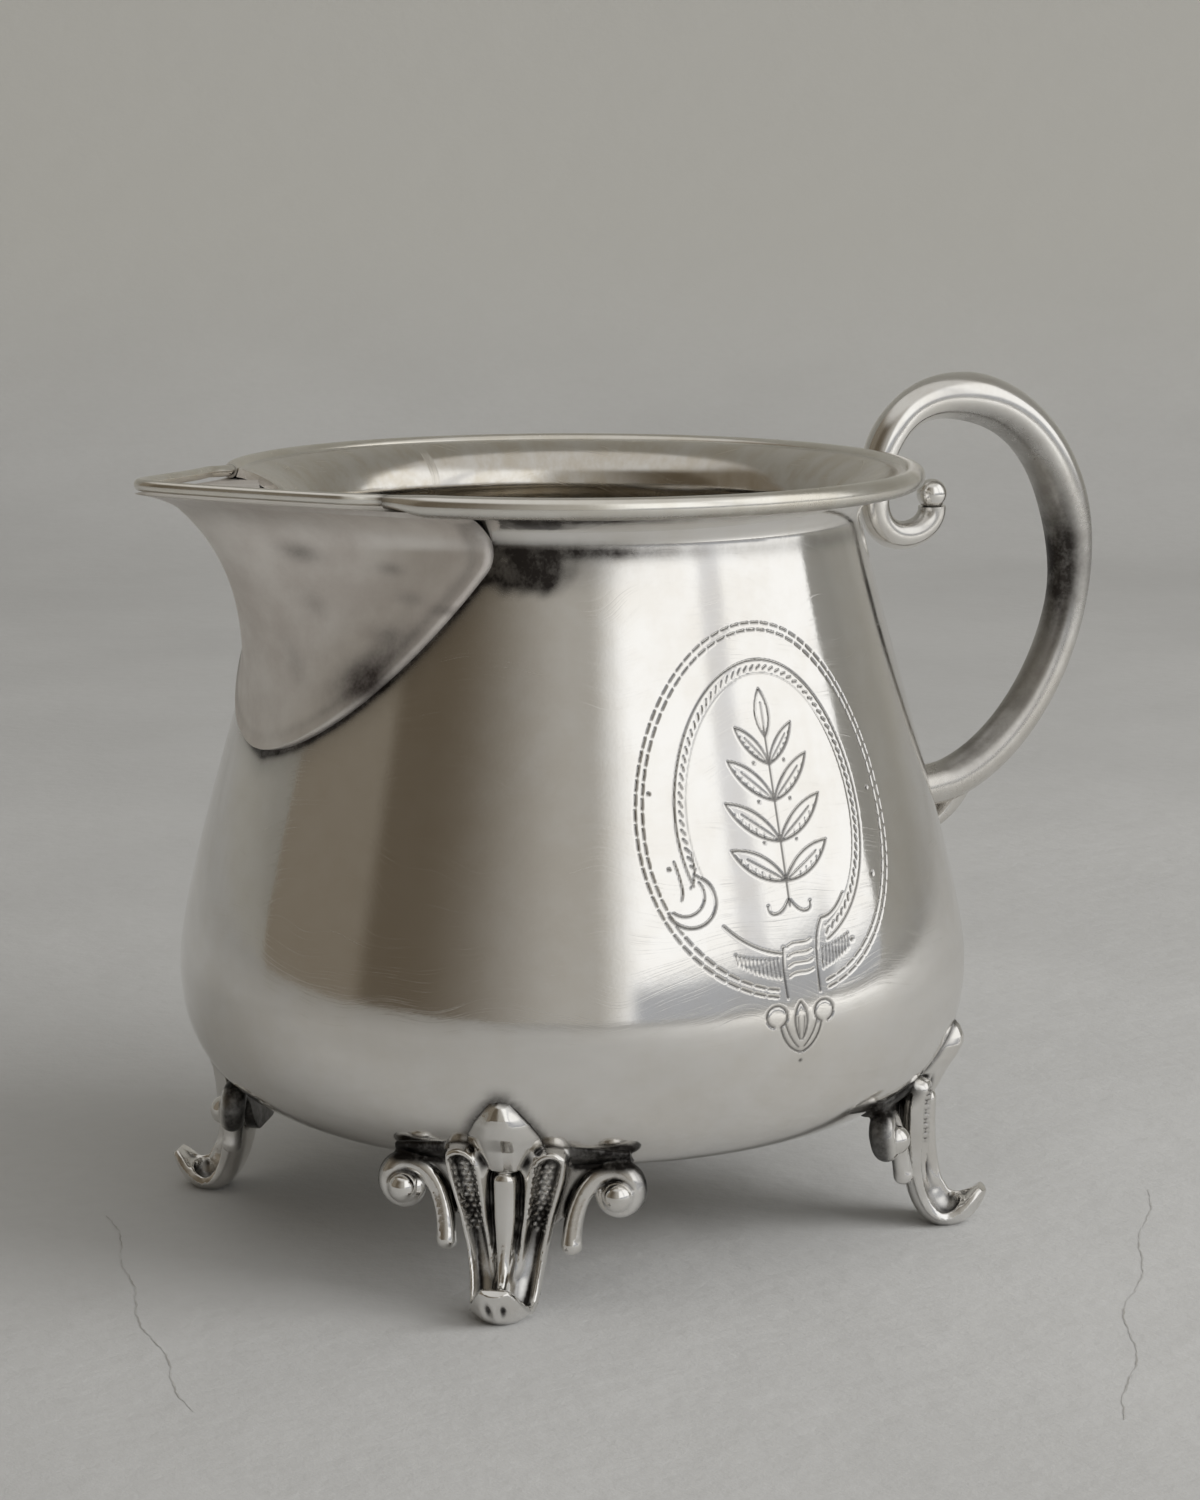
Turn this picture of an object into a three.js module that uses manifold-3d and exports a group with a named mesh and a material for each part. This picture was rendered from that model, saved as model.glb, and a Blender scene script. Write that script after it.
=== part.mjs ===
// Small silver cream jug: pear-shaped body, applied spout, scroll handle and four cast feet.
// Millimetres, +Z up, handle towards +X, spout towards -X.
import * as THREE from 'three';
import { mergeVertices } from 'three/addons/utils/BufferGeometryUtils.js';
import Module from 'manifold-3d';

const wasm = await Module();
wasm.setup();

// Solder gap left between neighbouring pieces
const SOLDER_GAP = 0.3;

// Body, raised from sheet
const BELLY_RADIUS = 42;
const BELLY_HEIGHT = 28;
const BELLY_DROP = 12;
const BELLY_RISE = 8;
const BASE_RADIUS = 18;
const BASE_HEIGHT = 11.6;
const BASE_REACH = 16;
const NECK_TAPER = 11.6;
const NECK_HEIGHT = 75.2;
const NECK_FALL = 16;
const NECK_SLOPE = 0.23;
const BODY_WALL = 1.1;

// Flared mouth and its wire
const FLARE_OUT = 5.6;
const FLARE_UP = 4.4;
const RIM_WIRE = 2.26;

// Spout
const SPOUT_DEPTH = 26.2;
const SPOUT_OUT = 13.6;
const SPOUT_WALL = 1;
const SPOUT_CHIN = 2.2;
const SPOUT_LIP_RISE = 1;
const LIP_NOSE = 2.7;
const CHIN_NOSE = 12;
const SEAM_ANGLE = 49;
const SEAM_TUCK = 0.2;
const LIP_WIRE = 1.5;
const LIP_EASE_POWER = 60;

// Handle
const HANDLE_OUT = 29.9;
const HANDLE_RISE = 6.3;
const HANDLE_MIDDLE = 65.8;
const HANDLE_LOW = 42.2;
const BAR_TOP = 5.6;
const BAR_MIDDLE = 4.6;
const BAR_RIM = 3.9;
const BAR_TIP = 2.3;
const BAR_SIDE_RATIO = 1.12;
const CURL_DROP = 9;
const CURL_WIDTH = 7.9;
const BEAD = 3;
const SPUR_LENGTH = 8.5;
const SPUR_ROOT = 3.6;
const SPUR_TIP = 0.9;

// Feet
const FOOT_COUNT = 4;
const FOOT_TURN = 5;
const FOOT_INSET = 0.3;
const TOE_LENGTH = 2.6;
const TOE_LIFT = 4.1;
const ANKLE_BACK = 5.8;
const LEG_THICK = 3.1;
const LEG_TOP_WIDTH = 11.6;
const LEG_ANKLE_WIDTH = 8.2;
const LEG_TOE_WIDTH = 6;
const LEG_GROOVE = 0.7;
const DROP_WIDTH = 2.9;
const DROP_LENGTH = 9.5;
const LEAF_WIDTH = 6.2;
const LEAF_LENGTH = 8.2;
const LEAF_THICK = 1.4;
const APRON_WIDTH = 20.5;
const APRON_THICK = 0.8;
const SCROLL_SPREAD = 10.4;
const SCROLL_HEIGHT = 11.2;
const SCROLL_RADIUS = 2.1;
const SCROLL_WIRE = 1.9;
const SCROLL_EYE = 3;
const WEB_THICK = 1.4;

// Facets
const AROUND = 48;
const WIRE_SIDES = 8;
const SCROLL_SIDES = 6;
const BAR_SIDES = 10;
const SPOUT_LEVELS = 12;
const SPOUT_ACROSS = 14;

const NECK_RADIUS = BELLY_RADIUS - NECK_TAPER;
const RIM_RADIUS = NECK_RADIUS + FLARE_OUT;
const RIM_HEIGHT = NECK_HEIGHT + FLARE_UP;
const SPOUT_REACH = RIM_RADIUS + SPOUT_OUT;
const HANDLE_REACH = RIM_RADIUS + HANDLE_OUT;
const HANDLE_TOP = RIM_HEIGHT + HANDLE_RISE;
const FOOT_RADIUS = BELLY_RADIUS - FOOT_INSET;

const SILVER = { color: 0xb9b5ad, metalness: 1 };
const BRIGHT = { color: 0xcfccc6, metalness: 1 };

function at(x, y) {
  return new THREE.Vector2(x, y);
}

function mix(a, b, t) {
  return a + (b - a) * t;
}

// Value of t from 0 to 1 where a rising function reaches its goal
function solve(rising, goal) {
  let low = 0;
  let high = 1;
  for (let step = 0; step < 40; step += 1) {
    const middle = (low + high) / 2;
    if (rising(middle) < goal) low = middle;
    else high = middle;
  }
  return (low + high) / 2;
}

// Closed skin over rings of equal length, with a fan over each end
function skin(rings) {
  const sides = rings[0].length;
  const points = rings.flat();
  const index = [];
  for (let i = 0; i + 1 < rings.length; i += 1) {
    for (let j = 0; j < sides; j += 1) {
      const a = i * sides + j;
      const b = i * sides + ((j + 1) % sides);
      index.push(a, b, a + sides, b, b + sides, a + sides);
    }
  }
  const lastRing = (rings.length - 1) * sides;
  for (const [first, forward] of [[0, false], [lastRing, true]]) {
    const centre = new THREE.Vector3();
    for (let j = 0; j < sides; j += 1) centre.add(points[first + j]);
    points.push(centre.divideScalar(sides));
    for (let j = 0; j < sides; j += 1) {
      const a = first + j;
      const b = first + ((j + 1) % sides);
      if (forward) index.push(a, b, points.length - 1);
      else index.push(b, a, points.length - 1);
    }
  }
  const geometry = new THREE.BufferGeometry().setFromPoints(points);
  geometry.setIndex(index);
  return geometry;
}

// Solid for cutting and joining, with its faces turned outwards
function solid(geometry) {
  const bare = geometry.clone();
  bare.deleteAttribute('normal');
  bare.deleteAttribute('uv');
  const merged = mergeVertices(bare, 1e-4);
  const place = merged.attributes.position;
  const index = merged.index.array;
  const faces = [];
  const a = new THREE.Vector3();
  const b = new THREE.Vector3();
  const c = new THREE.Vector3();
  let volume = 0;
  for (let i = 0; i < index.length; i += 3) {
    const [p, q, r] = [index[i], index[i + 1], index[i + 2]];
    if (p === q || q === r || r === p) continue;
    a.fromBufferAttribute(place, p);
    b.fromBufferAttribute(place, q);
    c.fromBufferAttribute(place, r);
    volume += a.dot(b.cross(c));
    faces.push([p, q, r]);
  }
  const triVerts = new Uint32Array(faces.flatMap(([p, q, r]) => (volume < 0 ? [p, r, q] : [p, q, r])));
  const vertProperties = new Float32Array(place.array);
  return new wasm.Manifold(new wasm.Mesh({ numProp: 3, vertProperties, triVerts }));
}

function surface(body) {
  const mesh = body.getMesh();
  const geometry = new THREE.BufferGeometry();
  geometry.setAttribute('position', new THREE.BufferAttribute(mesh.vertProperties, 3));
  geometry.setIndex(new THREE.BufferAttribute(mesh.triVerts, 1));
  geometry.computeVertexNormals();
  return geometry;
}

function piece(name, geometry, look, roughness) {
  const mesh = new THREE.Mesh(geometry, new THREE.MeshStandardMaterial({ ...look, roughness }));
  mesh.name = name;
  return mesh;
}

// Outer profile of the body as radius and height: underside, side and flare
const underside = new THREE.CubicBezierCurve(
  at(BASE_RADIUS, BASE_HEIGHT),
  at(BASE_RADIUS + BASE_REACH, BASE_HEIGHT),
  at(BELLY_RADIUS, BELLY_HEIGHT - BELLY_DROP),
  at(BELLY_RADIUS, BELLY_HEIGHT),
);
const side = new THREE.CubicBezierCurve(
  at(BELLY_RADIUS, BELLY_HEIGHT),
  at(BELLY_RADIUS, BELLY_HEIGHT + BELLY_RISE),
  at(NECK_RADIUS + NECK_SLOPE * NECK_FALL, NECK_HEIGHT - NECK_FALL),
  at(NECK_RADIUS, NECK_HEIGHT),
);
const flareEnd = at(RIM_RADIUS - RIM_WIRE / 2 - SOLDER_GAP, RIM_HEIGHT - RIM_WIRE / 8);
const flareLift = FLARE_UP / 3;
const flare = new THREE.CubicBezierCurve(
  at(NECK_RADIUS, NECK_HEIGHT),
  at(NECK_RADIUS - NECK_SLOPE * flareLift, NECK_HEIGHT + flareLift),
  at(mix(NECK_RADIUS, flareEnd.x, 0.4), mix(NECK_HEIGHT, flareEnd.y, 0.88)),
  flareEnd,
);

function sideRadius(height) {
  const t = solve((k) => side.getPoint(k).y, height);
  return side.getPoint(t).x;
}

function wallRadius(height) {
  if (height < NECK_HEIGHT) return sideRadius(height);
  const t = solve((k) => flare.getPoint(k).y, height);
  return flare.getPoint(t).x;
}

function undersideAt(radius) {
  return solve((k) => underside.getPoint(k).x, radius);
}

// Profile points moved along their normals, away from the wall when the distance is positive
function offsetProfile(points, distance) {
  return points.map((point, i) => {
    const before = points[Math.max(i - 1, 0)];
    const after = points[Math.min(i + 1, points.length - 1)];
    const along = after.clone().sub(before).normalize();
    return at(point.x + along.y * distance, point.y - along.x * distance);
  });
}

const outerProfile = [
  ...underside.getPoints(7),
  ...side.getPoints(8).slice(1),
  ...flare.getPoints(4).slice(1),
];

function lathe(profile) {
  const geometry = new THREE.LatheGeometry(profile, AROUND);
  geometry.rotateX(Math.PI / 2);
  return geometry;
}

function bodyShell() {
  const inner = offsetProfile(outerProfile, -BODY_WALL).reverse();
  const foot = at(0, BASE_HEIGHT);
  const floor = at(0, BASE_HEIGHT + BODY_WALL);
  return solid(lathe([foot, ...outerProfile, ...inner, floor]));
}

// Everything inside the body and its mouth, grown by the solder gap
function bodyEnvelope() {
  const grown = offsetProfile(outerProfile, SOLDER_GAP);
  const foot = at(0, BASE_HEIGHT - SOLDER_GAP);
  const edge = flareEnd.x + SOLDER_GAP;
  const top = HANDLE_TOP + BAR_TOP;
  return solid(lathe([foot, ...grown, at(edge, flareEnd.y), at(edge, top), at(0, top)]));
}

// Spout: horizontal rounded V sections along the line of its nose
const chinHeight = RIM_HEIGHT - SPOUT_DEPTH;
const lipHeight = RIM_HEIGHT + SPOUT_LIP_RISE + RIM_WIRE / 2 - LIP_WIRE - SOLDER_GAP;
const chinRadius = sideRadius(chinHeight);
const throatHeight = mix(chinHeight, lipHeight, 0.95);
const throatRadius = mix(chinRadius, SPOUT_REACH, 0.66);
const noseCurve = new THREE.CurvePath();
noseCurve.add(new THREE.CubicBezierCurve(
  at(chinRadius - SPOUT_WALL, chinHeight),
  at(chinRadius + SPOUT_CHIN + SPOUT_WALL, mix(chinHeight, lipHeight, 0.15)),
  at(mix(chinRadius, throatRadius, -0.08), mix(chinHeight, lipHeight, 0.62)),
  at(throatRadius, throatHeight),
));
noseCurve.add(new THREE.QuadraticBezierCurve(
  at(throatRadius, throatHeight),
  at(mix(throatRadius, SPOUT_REACH, 0.4), mix(throatHeight, lipHeight, 0.8)),
  at(SPOUT_REACH, lipHeight),
));

// Place where the section at a height meets the body
function seamPoint(rise, height) {
  const tuck = 1 - SEAM_TUCK * THREE.MathUtils.smoothstep(rise, 0.82, 1);
  const angle = THREE.MathUtils.degToRad(SEAM_ANGLE * tuck * Math.max(rise, 0.02) ** 0.58);
  const radius = wallRadius(height);
  return at(radius * Math.cos(angle), radius * Math.sin(angle));
}

// One section: its nose, the place of its seam and how widely its sides spread
function spoutSection(t) {
  const nose = t < 1 ? noseCurve.getPoint(t) : at(SPOUT_REACH, lipHeight);
  const rise = (nose.y - chinHeight) / (lipHeight - chinHeight);
  const seam = seamPoint(rise, nose.y);
  const bend = mix(CHIN_NOSE, LIP_NOSE, rise);
  const depth = Math.max(nose.x - seam.x, SPOUT_WALL / 2);
  const spread = seam.y / Math.sqrt((depth + bend) ** 2 - bend ** 2);
  return { nose, rise, seam, bend, spread };
}

// Point of a section at y across the spout, moved inwards through the sheet by the inset
function sectionPoint(section, y, inset) {
  const { nose, rise, bend, spread } = section;
  const slant = Math.sqrt(1 + 1 / spread ** 2);
  const inner = Math.max(bend + inset * (1 - slant), 0.2);
  const reach = nose.x - inset + inner - Math.hypot(inner, y / spread);
  const out = (Math.hypot(reach, y) - RIM_RADIUS) / (SPOUT_REACH - RIM_RADIUS);
  const dip = SPOUT_LIP_RISE * rise ** 3 * (1 - THREE.MathUtils.clamp(out, 0, 1));
  return new THREE.Vector3(-reach, y, nose.y - dip);
}

function spoutBlock(inset, extraTop) {
  const rings = [];
  for (let level = 0; level <= SPOUT_LEVELS; level += 1) {
    const section = spoutSection(level / SPOUT_LEVELS);
    const halfWidth = section.seam.y + SPOUT_WALL;
    const ring = [];
    for (let k = 0; k <= SPOUT_ACROSS; k += 1) {
      const across = (2 * k) / SPOUT_ACROSS - 1;
      const y = halfWidth * Math.sign(across) * Math.abs(across) ** 1.4;
      ring.push(sectionPoint(section, y, inset));
    }
    rings.push(ring);
  }
  if (extraTop > 0) {
    const last = rings[rings.length - 1];
    rings.push(last.map((point) => point.clone().setZ(point.z + extraTop)));
  }
  return solid(skin(rings));
}

// Round wire along a curve
function wire(curve, diameter, steps, sides) {
  const section = new THREE.Shape();
  section.absarc(0, 0, diameter / 2, 0, 2 * Math.PI);
  return new THREE.ExtrudeGeometry(section, { steps, curveSegments: sides / 2, extrudePath: curve });
}

class MouthArc extends THREE.Curve {
  constructor(gapAngle) {
    super();
    this.gapAngle = gapAngle;
  }

  getPoint(t) {
    const angle = mix(-Math.PI + this.gapAngle, Math.PI - this.gapAngle, t);
    return new THREE.Vector3(RIM_RADIUS * Math.cos(angle), RIM_RADIUS * Math.sin(angle), RIM_HEIGHT);
  }
}

// Middle of the sheet at the lip, at a share of the mouth radius across
const lipSection = spoutSection(1);

function lipPoint(k) {
  return sectionPoint(lipSection, k * RIM_RADIUS, SPOUT_WALL / 2);
}

// Line of the lip wire: along the lip, then easing into the circle of the mouth
const lipCrossing = solve((k) => -Math.hypot(lipPoint(k).x, lipPoint(k).y), -RIM_RADIUS);
const lipJoin = Math.asin(lipCrossing);
const lipTip = lipHeight + LIP_WIRE / 2 + SOLDER_GAP;
const lipEnd = RIM_HEIGHT + (RIM_WIRE - LIP_WIRE) / 2;

class LipLine extends THREE.Curve {
  getPoint(t) {
    const angle = lipJoin * (2 * t - 1);
    const turned = (k) => Math.atan2(lipPoint(k).y, -lipPoint(k).x);
    const lip = lipPoint(solve(turned, Math.abs(angle)));
    const lipRadius = Math.hypot(lip.x, lip.y);
    const radius = (lipRadius ** LIP_EASE_POWER + RIM_RADIUS ** LIP_EASE_POWER) ** (1 / LIP_EASE_POWER);
    const out = (radius - RIM_RADIUS) / (SPOUT_REACH - SPOUT_WALL / 2 - RIM_RADIUS);
    const height = mix(lipEnd, lipTip, Math.min(out, 1));
    return new THREE.Vector3(-radius * Math.cos(angle), radius * Math.sin(angle), height);
  }
}

// Wedge that limits the opening in the body to the part of the mouth inside the lip
function mouthWedge() {
  const half = Math.tan(lipJoin) * SPOUT_REACH;
  const shape = new THREE.Shape([at(0, 0), at(-SPOUT_REACH, half), at(-SPOUT_REACH, -half)]);
  const wedge = new THREE.ExtrudeGeometry(shape, { depth: HANDLE_TOP + BAR_TOP, bevelEnabled: false });
  return solid(wedge);
}

// Bar of changing thickness along a curve in the XZ plane
function bar(curve, steps, thickness, breadth) {
  const rings = [];
  for (let i = 0; i <= steps; i += 1) {
    const t = i / steps;
    const middle = curve.getPoint(t);
    const along = curve.getTangent(t);
    const half = thickness(t) / 2;
    const ring = [];
    for (let k = 0; k < BAR_SIDES; k += 1) {
      const angle = (2 * Math.PI * k) / BAR_SIDES;
      const out = half * Math.cos(angle);
      const across = half * breadth * Math.sin(angle);
      ring.push(new THREE.Vector3(middle.x - along.y * out, across, middle.y + along.x * out));
    }
    rings.push(ring);
  }
  return skin(rings);
}

// Line of the handle: curl under the rim, knee at the rim, loop and lower end
const kneeX = RIM_RADIUS + RIM_WIRE / 2 + BAR_RIM / 2 + SOLDER_GAP / 2;
const curlX = kneeX - BAR_RIM / 8;
const curlLow = RIM_HEIGHT - CURL_DROP;
const lowX = sideRadius(HANDLE_LOW) + BAR_MIDDLE * 2.04;
const topX = mix(kneeX, HANDLE_REACH, 0.355);
const curl = new THREE.CubicBezierCurve(
  at(curlX + CURL_WIDTH, curlLow + CURL_WIDTH * 0.39),
  at(curlX + CURL_WIDTH * 1.05, curlLow - CURL_WIDTH * 0.04),
  at(curlX + CURL_WIDTH * 0.04, curlLow - CURL_WIDTH * 0.25),
  at(curlX, curlLow + CURL_WIDTH * 0.51),
);
const kneeRise = new THREE.CubicBezierCurve(
  curl.v3,
  at(curlX, curlLow + CURL_WIDTH * 0.7),
  at(kneeX, RIM_HEIGHT - CURL_DROP * 0.3),
  at(kneeX, RIM_HEIGHT - RIM_WIRE / 2),
);
const shoulder = new THREE.CubicBezierCurve(
  kneeRise.v3,
  at(kneeX, RIM_HEIGHT),
  at(mix(kneeX, topX, 0.22), HANDLE_TOP),
  at(topX, HANDLE_TOP),
);
const loopTop = new THREE.CubicBezierCurve(
  shoulder.v3,
  at(mix(topX, HANDLE_REACH, 0.6), HANDLE_TOP),
  at(HANDLE_REACH, mix(HANDLE_MIDDLE, HANDLE_TOP, 0.56)),
  at(HANDLE_REACH, HANDLE_MIDDLE),
);
const loopLow = new THREE.CubicBezierCurve(
  loopTop.v3,
  at(HANDLE_REACH, mix(HANDLE_MIDDLE, HANDLE_LOW, 0.37)),
  at(mix(HANDLE_REACH, lowX, 0.4), mix(HANDLE_MIDDLE, HANDLE_LOW, 0.88)),
  at(lowX, HANDLE_LOW),
);
const tail = new THREE.LineCurve(loopLow.v3, at(lowX - BAR_MIDDLE * 2.8, HANDLE_LOW - BAR_MIDDLE * 0.4));
const handleLine = new THREE.CurvePath();
for (const part of [curl, kneeRise, shoulder, loopTop, loopLow, tail]) handleLine.add(part);

function handleThickness(t) {
  const stops = [[0, BAR_TIP], [0.17, BAR_RIM], [0.22, BAR_RIM], [0.33, BAR_TOP], [0.48, BAR_TOP]];
  stops.push([0.64, BAR_MIDDLE], [1, BAR_MIDDLE]);
  const next = Math.max(stops.findIndex(([place]) => place >= t), 1);
  const [from, thin] = stops[next - 1];
  const [to, thick] = stops[next];
  return mix(thin, thick, THREE.MathUtils.smoothstep(t, from, to));
}

function spurBar() {
  const root = loopLow.getPoint(0.93);
  const line = new THREE.QuadraticBezierCurve(
    root,
    at(root.x - SPUR_LENGTH * 0.1, root.y - SPUR_LENGTH * 0.5),
    at(root.x - SPUR_LENGTH * 0.7, root.y - SPUR_LENGTH * 0.78),
  );
  return solid(bar(line, 8, (t) => mix(SPUR_ROOT, SPUR_TIP, t), BAR_SIDE_RATIO));
}

function handleBody(envelope, mouth) {
  const loop = solid(bar(handleLine, 52, handleThickness, BAR_SIDE_RATIO));
  return loop.add(spurBar()).subtract(envelope).subtract(mouth);
}

function bead() {
  const end = curl.v0;
  const along = curl.getTangent(0);
  const away = BEAD / 2 + SOLDER_GAP;
  const ball = new THREE.SphereGeometry(BEAD / 2, 12, 7);
  ball.translate(end.x - along.x * away, 0, end.y - along.y * away);
  return solid(ball);
}

// Foot, modelled on the line y > 0: x across, y out from the axis, z up
const legTop = FOOT_RADIUS - LEG_THICK * 1.15;
const legSeat = underside.getPoint(undersideAt(legTop)).y;
const legLine = new THREE.CubicBezierCurve(
  at(legTop, legSeat + LEG_THICK / 2),
  at(FOOT_RADIUS - ANKLE_BACK, legSeat * 0.57),
  at(FOOT_RADIUS - ANKLE_BACK * 0.83, -TOE_LIFT * 1.24),
  at(FOOT_RADIUS + TOE_LENGTH, TOE_LIFT),
);

function legHalfWidth(t) {
  if (t < 0.45) return mix(LEG_TOP_WIDTH, LEG_ANKLE_WIDTH, t / 0.45) / 2;
  return mix(LEG_ANKLE_WIDTH, LEG_TOE_WIDTH, (t - 0.45) / 0.55) / 2;
}

// Leg with a raised edge on each side of a hollow front
function leg() {
  const rings = [];
  const steps = 11;
  for (let i = 0; i <= steps; i += 1) {
    const t = i / steps;
    const middle = legLine.getPoint(t);
    const along = legLine.getTangent(t);
    const toe = Math.sqrt(Math.max(1 - Math.max((t - 0.88) / 0.13, 0) ** 2, 0));
    const half = legHalfWidth(t) * mix(0.72, 1, toe);
    const thick = (LEG_THICK / 2) * mix(0.45, 1, toe) * (1 + 0.14 * Math.sin(Math.PI * t));
    const hollow = LEG_GROOVE * toe;
    const floor = thick - hollow;
    const front = [[-1, -0.1 * thick], [-0.84, thick], [-0.5, floor], [0.5, floor], [0.84, thick]];
    const section = [...front, [1, -0.1 * thick], [0.72, -thick], [-0.72, -thick]];
    rings.push(section.map(([x, out]) => (
      new THREE.Vector3(x * half, middle.x - along.y * out, middle.y + along.x * out)
    )));
  }
  return solid(skin(rings));
}

// Raised drop down the middle of the leg
function drop() {
  const rings = [];
  const steps = 8;
  const length = legLine.getLength();
  for (let i = 0; i <= steps; i += 1) {
    const k = i / steps;
    const t = 0.12 + (k * DROP_LENGTH) / length;
    const middle = legLine.getPoint(t);
    const along = legLine.getTangent(t);
    const half = (DROP_WIDTH / 2) * Math.max(Math.sin(Math.PI * mix(0.1, 0.97, k ** 0.5)), 0.12);
    const ring = [];
    for (let j = 0; j < SCROLL_SIDES; j += 1) {
      const angle = (2 * Math.PI * j) / SCROLL_SIDES;
      const out = LEG_THICK / 2 - LEG_GROOVE * 0.6 + half * 0.75 * Math.cos(angle);
      const across = half * Math.sin(angle);
      ring.push(new THREE.Vector3(across, middle.x - along.y * out, middle.y + along.x * out));
    }
    rings.push(ring);
  }
  return solid(skin(rings));
}

// Point on the underside of the body, moved across and away from the wall
function onBody(t, x, away) {
  const point = underside.getPoint(t);
  const along = underside.getTangent(t);
  const radius = point.x + along.y * away;
  return new THREE.Vector3(x, Math.sqrt(radius ** 2 - x ** 2), point.y - along.x * away);
}

// Leaf lying up the body above the leg
function leaf() {
  const rings = [];
  const steps = 7;
  const length = underside.getLength();
  const root = undersideAt(legTop + LEG_THICK * 0.2);
  for (let i = 0; i <= steps; i += 1) {
    const k = i / steps;
    const t = root + ((k - 0.1) * LEAF_LENGTH) / length;
    const half = (LEAF_WIDTH / 2) * Math.max(Math.sin(Math.PI * mix(0.2, 0.985, k ** 0.85)), 0.05);
    const high = LEAF_THICK * mix(1.5, 0.7, k);
    const section = [[-1, 0.2], [-0.5, 0.75], [0, 1], [0.5, 0.75], [1, 0.2], [0.6, -1], [-0.6, -1]];
    rings.push(section.map(([x, out]) => onBody(t, x * half, out * (out < 0 ? LEAF_THICK : high))));
  }
  return solid(skin(rings));
}

// Apron under the body that carries the leg, leaf and scrolls
function apron() {
  const rings = [];
  const stations = 6;
  const middle = undersideAt(legTop);
  for (let i = 0; i <= stations; i += 1) {
    const across = (2 * i) / stations - 1;
    const x = (APRON_WIDTH / 2) * across;
    const thick = APRON_THICK * mix(1, 0.55, across ** 2);
    const half = mix(0.13, 0.07, across ** 2);
    const section = [[-1, -1], [1, -1], [1, 0.35 * thick], [0.5, thick], [-0.5, thick], [-1, 0.5 * thick]];
    rings.push(section.map(([k, out]) => onBody(middle + k * half - 0.05 * across ** 2, x, out)));
  }
  return solid(skin(rings));
}

// Scroll beside the leg: an arm that rises from the ankle and winds into a volute
const scrollArm = new THREE.CubicBezierCurve(
  at(SCROLL_SPREAD * 0.6, SCROLL_HEIGHT * 0.5),
  at(SCROLL_SPREAD * 0.59, SCROLL_HEIGHT * 0.77),
  at(SCROLL_SPREAD * 0.68, SCROLL_HEIGHT + SCROLL_RADIUS),
  at(SCROLL_SPREAD, SCROLL_HEIGHT + SCROLL_RADIUS),
);

class ScrollLine extends THREE.Curve {
  constructor(hand) {
    super();
    this.hand = hand;
  }

  getPoint(t) {
    const turned = 5.2 * Math.max((t - 0.42) / 0.58, 0);
    const arm = scrollArm.getPoint(Math.min(t / 0.42, 1));
    const radius = SCROLL_RADIUS * (1 - 0.1 * turned);
    const x = t < 0.42 ? arm.x : SCROLL_SPREAD + radius * Math.sin(turned);
    const z = t < 0.42 ? arm.y : SCROLL_HEIGHT + radius * Math.cos(turned);
    const back = ANKLE_BACK * mix(0.85, 1.12, Math.min(t / 0.42, 1));
    const y = FOOT_RADIUS - back + 0.12 * SCROLL_RADIUS * Math.max(turned - 1.5, 0);
    return new THREE.Vector3(this.hand * x, y, z);
  }
}

function scroll(hand) {
  const line = new ScrollLine(hand);
  const winding = wire(line, SCROLL_WIRE, 15, SCROLL_SIDES);
  const eye = new THREE.SphereGeometry(SCROLL_EYE / 2, 8, 6);
  eye.translate(hand * SCROLL_SPREAD, line.getPoint(0.8).y, SCROLL_HEIGHT);
  return solid(winding).add(solid(eye));
}

// Web behind the leg that ties the scrolls to it
function web() {
  const wide = SCROLL_SPREAD - SCROLL_RADIUS / 2;
  const top = legSeat + LEG_THICK;
  const shape = new THREE.Shape();
  shape.moveTo(LEG_ANKLE_WIDTH / 2, TOE_LIFT);
  shape.quadraticCurveTo(wide * 0.8, TOE_LIFT * 1.3, wide, SCROLL_HEIGHT);
  shape.lineTo(wide, top);
  shape.lineTo(-wide, top);
  shape.lineTo(-wide, SCROLL_HEIGHT);
  shape.quadraticCurveTo(-wide * 0.8, TOE_LIFT * 1.3, -LEG_ANKLE_WIDTH / 2, TOE_LIFT);
  const flat = { depth: WEB_THICK, bevelEnabled: false, curveSegments: 4 };
  const plate = new THREE.ExtrudeGeometry(shape, flat);
  plate.rotateX(Math.PI / 2);
  plate.translate(0, FOOT_RADIUS - ANKLE_BACK * 1.05, 0);
  return solid(plate);
}

// Ground that trims the foot to a flat pad
function groundBlock() {
  const size = 4 * TOE_LENGTH + 2 * SCROLL_SPREAD;
  const block = new THREE.BoxGeometry(size, size, size);
  block.translate(0, FOOT_RADIUS, -size / 2);
  return solid(block);
}

function foot(envelope) {
  const whole = leg().add(web()).add(drop()).add(leaf()).add(apron()).add(scroll(1)).add(scroll(-1));
  return whole.subtract(envelope).subtract(groundBlock());
}

const jug = new THREE.Group();

const envelope = bodyEnvelope();
const channel = spoutBlock(SPOUT_WALL, RIM_WIRE + LIP_WIRE);
const mouthLine = new MouthArc(lipJoin + SOLDER_GAP / RIM_RADIUS);
const mouth = solid(wire(mouthLine, RIM_WIRE + 2 * SOLDER_GAP, AROUND, WIRE_SIDES));
const body = bodyShell().subtract(channel.intersect(mouthWedge()));
const spout = spoutBlock(0, 0).subtract(channel).subtract(envelope).subtract(mouth);

jug.add(piece('body', surface(body), SILVER, 0.24));
jug.add(piece('rim_wire', wire(mouthLine, RIM_WIRE, AROUND, WIRE_SIDES), BRIGHT, 0.2));
jug.add(piece('spout', surface(spout), SILVER, 0.26));
jug.add(piece('spout_lip_wire', wire(new LipLine(), LIP_WIRE, 36, WIRE_SIDES), BRIGHT, 0.22));
jug.add(piece('handle', surface(handleBody(envelope, mouth)), SILVER, 0.22));
jug.add(piece('handle_bead', surface(bead()), BRIGHT, 0.18));

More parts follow.
